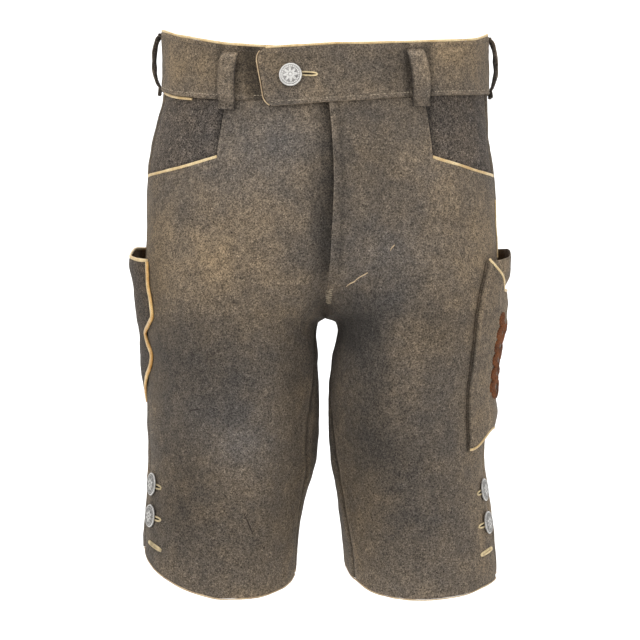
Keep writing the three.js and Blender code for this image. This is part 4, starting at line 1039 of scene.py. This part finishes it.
def stitched(name, points, normals, material, slot="suede", pitch=3.3, length=2.3, radius=0.34, skip=0.0):
    """Stitches along a line of places, each a small rounded bar half sunk in the leather."""
    points, normals = np.asarray(points), np.asarray(normals)
    run = np.concatenate([[0], np.cumsum(np.linalg.norm(np.diff(points, axis=0), axis=1))])
    at = np.arange(pitch / 2, run[-1], pitch)
    if skip:
        at = at[np.random.default_rng(len(at)).uniform(size=len(at)) > skip]
    middle = np.stack([np.interp(at, run, points[:, i]) for i in range(3)], axis=1)
    up = unit(np.stack([np.interp(at, run, normals[:, i]) for i in range(3)], axis=1))
    along = unit(np.stack([np.interp(at + 0.5, run, points[:, i]) - np.interp(at - 0.5, run, points[:, i])
                           for i in range(3)], axis=1))
    across = np.cross(along, up)
    rings, sides = np.array([-1, -0.75, 0, 0.75, 1]), 6
    wide = np.array([0.15, 0.75, 1, 0.75, 0.15])
    a = np.linspace(0, 2 * math.pi, sides, endpoint=False)
    local = np.array([(r * length / 2, w * radius * math.cos(k), w * radius * math.sin(k))
                      for r, w in zip(rings, wide) for k in a])
    every = (middle[:, None] + local[None, :, :1] * along[:, None] + local[None, :, 1:2] * across[:, None]
             + local[None, :, 2:3] * up[:, None])
    number = np.arange(len(rings) * sides).reshape(len(rings), sides)
    turn = np.roll(number, -1, axis=1)
    quads = np.stack([number[:-1], turn[:-1], turn[1:], number[1:]], axis=-1).reshape(-1, 4)
    ends = [tuple(number[0][::-1]), tuple(number[-1])]
    each = len(local)
    faces = [tuple(q + i * each) for i in range(len(at)) for q in quads]
    faces += [tuple(np.array(e) + i * each) for i in range(len(at)) for e in ends]
    piece = make_piece(name, every.reshape(-1, 3), faces, [material], crisp=70)
    return piece


s = np.linspace(-0.13, under_end - 0.01, 420)
stitched("band_lower_stitches", *lay_round(s, band_edge(s, "bottom") + 4, band_lift(s) - 0.2), rubbed_thread,
         skip=0.25)
stitched("band_upper_stitches", *lay_round(s, band_edge(s, "top") - 4.5, band_lift(s) - 0.22), brown_thread)
v = np.linspace(0.93, 0.07, 40)
s = tab_end(v) + 0.0088
stitched("tab_stitches", *lay_round(s, between(band_edge(s, "bottom"), band_edge(s, "top"), v),
                                    band_lift(s) - 0.2), brown_thread)
for side, word in both_sides:
    t = np.linspace(mouth_corner[side] + 0.004, SIDE_SEAM - 0.006, 50)
    stitched("mouth_stitches_" + word, *lay(side, t, mouth_height(side, t) - 3.4, 0.05), brown_thread)
    z = np.linspace(-48, -96, 24)
    t = np.concatenate([mouth_start(side, h) for h in z])
    stitched("mouth_side_stitches_" + word, *lay(side, t - 0.007, z, 0.05), brown_thread)
z = np.linspace(-199, -378, 90)
stitched("wide_pocket_front_stitches",
         *on_pocket(LEFT, wide_pocket, np.full(90, 0.035), z, overlay_out - 0.1), brown_thread)
stitched("wide_pocket_back_stitches",
         *on_pocket(LEFT, wide_pocket, np.full(90, 0.965), z, overlay_out - 0.1), brown_thread)
z = np.linspace(-198, -330, 80)
stitched("knife_pocket_back_stitches", *on_pocket(RIGHT, knife_pocket, np.full(80, 0.97), z, 0.05),
         brown_thread)
z = np.linspace(-50, fly_end, 70)
t = fly_edge(z) + 0.0007 + 4.2 / FRONT_RUN
stitched("fly_stitches", *lay(LEFT, t, z, 1.75 * eased((z - fly_end) / 20)), brown_thread)
z = np.linspace(-40, -240, 80)
for name, side in (("seat_stitches_left", LEFT), ("seat_stitches_right", RIGHT)):
    stitched(name, *lay(side, np.full(80, 1 - 0.011), z, 0.0), brown_thread)
# a patch of zigzag stitches closes the fly's lower end
z = np.linspace(-225, -239, 90)
t = 0.0105 + 0.0085 * np.sin(np.linspace(0, 48, 90))
stitched("fly_bar_stitches", *lay(LEFT, t, z, 0.3), rubbed_thread, pitch=1.5, length=1.6, radius=0.5,
         skip=0.15)

# ---- Buttonholes ----------------------------------------------------------------------------
# Slits whose edges are whipped with pale thread: one in the tab, three at each leg slit, the
# lowest of them empty.
pale_thread = thread_finish("pale_thread", (0.72, 0.58, 0.34))
# a flat near-black: the painted shadow inside the buttonhole slits, and the scars' own dark colour
slit_shadow_and_scar = bpy.data.materials.new("slit_shadow")
slit_shadow_and_scar.use_nodes = True
shader = slit_shadow_and_scar.node_tree.nodes["Principled BSDF"]
shader.inputs["Base Color"].default_value = (0.02, 0.014, 0.01, 1)
shader.inputs["Roughness"].default_value = 1.0


def buttonhole(name, side, t0, z0, length, tilt, lift, width=3.4):
    """tilt is the rise in mm over the hole's length, towards the garment's middle."""
    a = np.linspace(0, 2 * math.pi, 56, endpoint=False)
    along = np.cos(a) * length / 2
    off = powered(np.sin(a), 0.7) * width / 2
    t, z = t0 - along / FRONT_RUN, z0 + along * tilt / length + off
    points, normals = lay(side, np.append(t, t[:1]), np.append(z, z[:1]), lift + 0.55)
    stitched(name + "_thread", points, normals, pale_thread, "light_leather", pitch=0.9, length=1.2,
             radius=0.95 if width > 3 else 1.3)
    v, w = np.meshgrid(np.linspace(-1, 1, 24), np.linspace(-1, 1, 7), indexing="ij")
    reach = np.sqrt(np.clip(1 - v * v, 0.02, 1))
    t, z = t0 - v * length / 2 / FRONT_RUN, z0 + v * tilt / 2 + w * reach * width * 0.2
    points, normals = lay(side, t, z, lift + 0.5)
    # a near-black sheet in the hole as its painted shadow
    piece = cut_cloth(name + "_slit", points, normals, 0.5, [slit_shadow_and_scar], rounding=0.1)


# place round and height of the buttons: the waist's, and each leg's upper and lower one
waist_button = (0.0745, -20)
leg_buttons = {RIGHT: ((0.412, -415), (0.405, -446)), LEFT: ((0.422, -421), (0.414, -453))}
buttonhole("tab_buttonhole", RIGHT, waist_button[0] - 17.5 / FRONT_RUN, -19, 17, -1, 2 * over_panel)
for side, word in reversed(both_sides):
    for label, (t0, z0) in zip(("upper", "lower"), leg_buttons[side]):
        buttonhole(f"leg_buttonhole_{word}_{label}", side, t0 - 9 / FRONT_RUN, z0 - 2, 14, -2, 0)
    t0, z0 = (0.388, -475) if side == RIGHT else (0.398, -481)
    buttonhole(f"leg_buttonhole_{word}_empty", side, t0, z0, 20, -7 if side == RIGHT else -5, 0, width=2.5)

# ---- Buttons --------------------------------------------------------------------------------
# Five cast buttons of old silver colour, 22.5 mm across, slightly domed, with a rolled rim, a ring of
# beads and an eight-petalled flower. The hollows are dark.
silver, tree, shader, place = new_finish("old_silver")
raised = linked(tree, "ShaderNodeAttribute", attribute_name="raised").outputs["Fac"]
smut = noise(tree, place, 420, 4, 0.65)
clean = linked(tree, "ShaderNodeMath", {0: smut, 1: 0.55, 2: raised}, operation="MULTIPLY_ADD").outputs[0]
ramp = linked(tree, "ShaderNodeValToRGB", {"Fac": clean})
ramp.color_ramp.elements[0].position, ramp.color_ramp.elements[0].color = 0.16, (0.055, 0.05, 0.046, 1)
ramp.color_ramp.elements[1].position, ramp.color_ramp.elements[1].color = 0.6, (0.6, 0.585, 0.56, 1)
tree.links.new(ramp.outputs["Color"], shader.inputs["Base Color"])
shader.inputs["Metallic"].default_value = 0.75
shader.inputs["Roughness"].default_value = 0.42
bump = linked(tree, "ShaderNodeBump", {"Height": smut, "Strength": 0.25, "Distance": 0.0003})
tree.links.new(bump.outputs["Normal"], shader.inputs["Normal"])

button_radius = 11.2
buttons = [("button_waist", RIGHT, *waist_button, 2 * over_panel)]
buttons += [(f"button_leg_{word}_{label}", side, *place, 0.0) for side, word in reversed(both_sides)
            for label, place in zip(("upper", "lower"), leg_buttons[side])]
for node, side, t0, z0, lift in buttons:
    rings, spokes = 44, 112
    r = np.linspace(0, 1, rings)[1:, None] * np.ones((1, spokes))
    a = np.linspace(0, 2 * math.pi, spokes, endpoint=False)[None, :] * np.ones((rings - 1, 1))
    petals = np.clip((0.52 + 0.16 * np.cos(8 * a) - r) * 9, 0, 1) * np.clip((r - 0.17) * 12, 0, 1)
    veins = 0.25 * np.exp(-((np.abs(np.sin(4 * a)) / 0.12) ** 2)) * petals
    boss = np.clip((0.15 - r) * 20, 0, 1)
    beads = np.clip((0.4 + 0.6 * np.cos(28 * a)) * np.exp(-(((r - 0.74) / 0.045) ** 2)) * 1.4, 0, 1)
    rim = np.exp(-(((r - 0.93) / 0.05) ** 2))
    relief = 0.42 * petals - veins + 0.5 * boss + 0.34 * beads + 0.5 * rim
    dome = 2.0 + 1.75 * np.sqrt(np.clip(1 - (r * 0.86) ** 2, 0, 1))
    high = np.where(r > 0.985, 2.6, dome + relief)  # the rim turns over at its very edge
    face_points = np.stack([r * button_radius * np.cos(a), r * button_radius * np.sin(a), high], axis=-1)
    leg_button_shade = 0.22 if lift == 0 else 0  # painted shade: the leg buttons get less light than the waist's
    shades = 0.05 - leg_button_shade + 0.62 * petals - 1.6 * veins + 0.7 * boss + 0.6 * beads + 0.75 * rim
    shades = np.clip(shades, 0, 1)
    profile = [(1.0, 2.25), (0.97, 1.9), (0.7, 1.9), (0.3, 1.75), (0.28, 0.3), (0.02, 0.3)]
    back = np.stack([np.stack([p * button_radius * np.cos(a[0]), p * button_radius * np.sin(a[0]),
                               np.full(spokes, h)], axis=-1) for p, h in profile])
    local = np.vstack([[(0, 0, dome[0, 0] + 0.5)], face_points.reshape(-1, 3), back.reshape(-1, 3),
                       [(0, 0, 0.3)]])
    count = rings - 1 + len(profile)
    number = 1 + np.arange(count * spokes).reshape(count, spokes)
    after = np.roll(number, -1, axis=1)
    faces = np.stack([number[:-1], number[1:], after[1:], after[:-1]], axis=-1).reshape(-1, 4)
    faces = [tuple(f) for f in faces]
    faces += [(0, number[0, j], after[0, j]) for j in range(spokes)]
    faces += [(len(local) - 1, after[-1, j], number[-1, j]) for j in range(spokes)]
    point, normal = lay(side, np.array([t0]), np.array([float(z0)]), lift)
    point, normal = point[0], normal[0]
    turn = np.array(Vector((0, 0, 1)).rotation_difference(Vector(normal)).to_matrix())
    placed = local @ turn.T + point
    piece = make_piece(node + "_silver", placed, faces, [silver], crisp=45)
    raised = np.concatenate([[0.8], shades.ravel(), np.full(back.shape[0] * spokes, 0.45), [0.3]])
    stored = piece.data.attributes.new("raised", "FLOAT", "POINT").data
    stored.foreach_set("value", raised.astype(np.float32))
    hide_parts(node)

# ---- Marks of wear --------------------------------------------------------------------------
# A few healed scars of the living hide, dark and shallow, and three thorn scratches on the left
# front that are fresher and pale.
scars = [(RIGHT, -131, -342, -121, -339), (RIGHT, -79, -440, -71, -458), (RIGHT, -91, -169, -89, -171),
         (LEFT, 107, -498, 109, -498.5), (LEFT, 114, -497, 115.5, -497.5), (LEFT, 82, -404, 83.5, -405)]
scratches = [(LEFT, 18, -224, 27, -218), (LEFT, 27, -218, 40, -209), (LEFT, 62, -188, 66, -182)]
for i, (side, x0, z0, x1, z1) in enumerate(scars + scratches):
    k = np.linspace(0, 1, 14)
    x, z = between(x0, x1, k), between(z0, z1, k) + np.sin(k * 5) * 0.4
    mark = slit_shadow_and_scar if i < len(scars) else raw_edge
    piece = edge_strip(f"hide_scar_{i}", *lay(side, place_at(side, np.abs(x), z), z, 0.1), 0.9, 0.5, mark,
                       wobble=0.5)
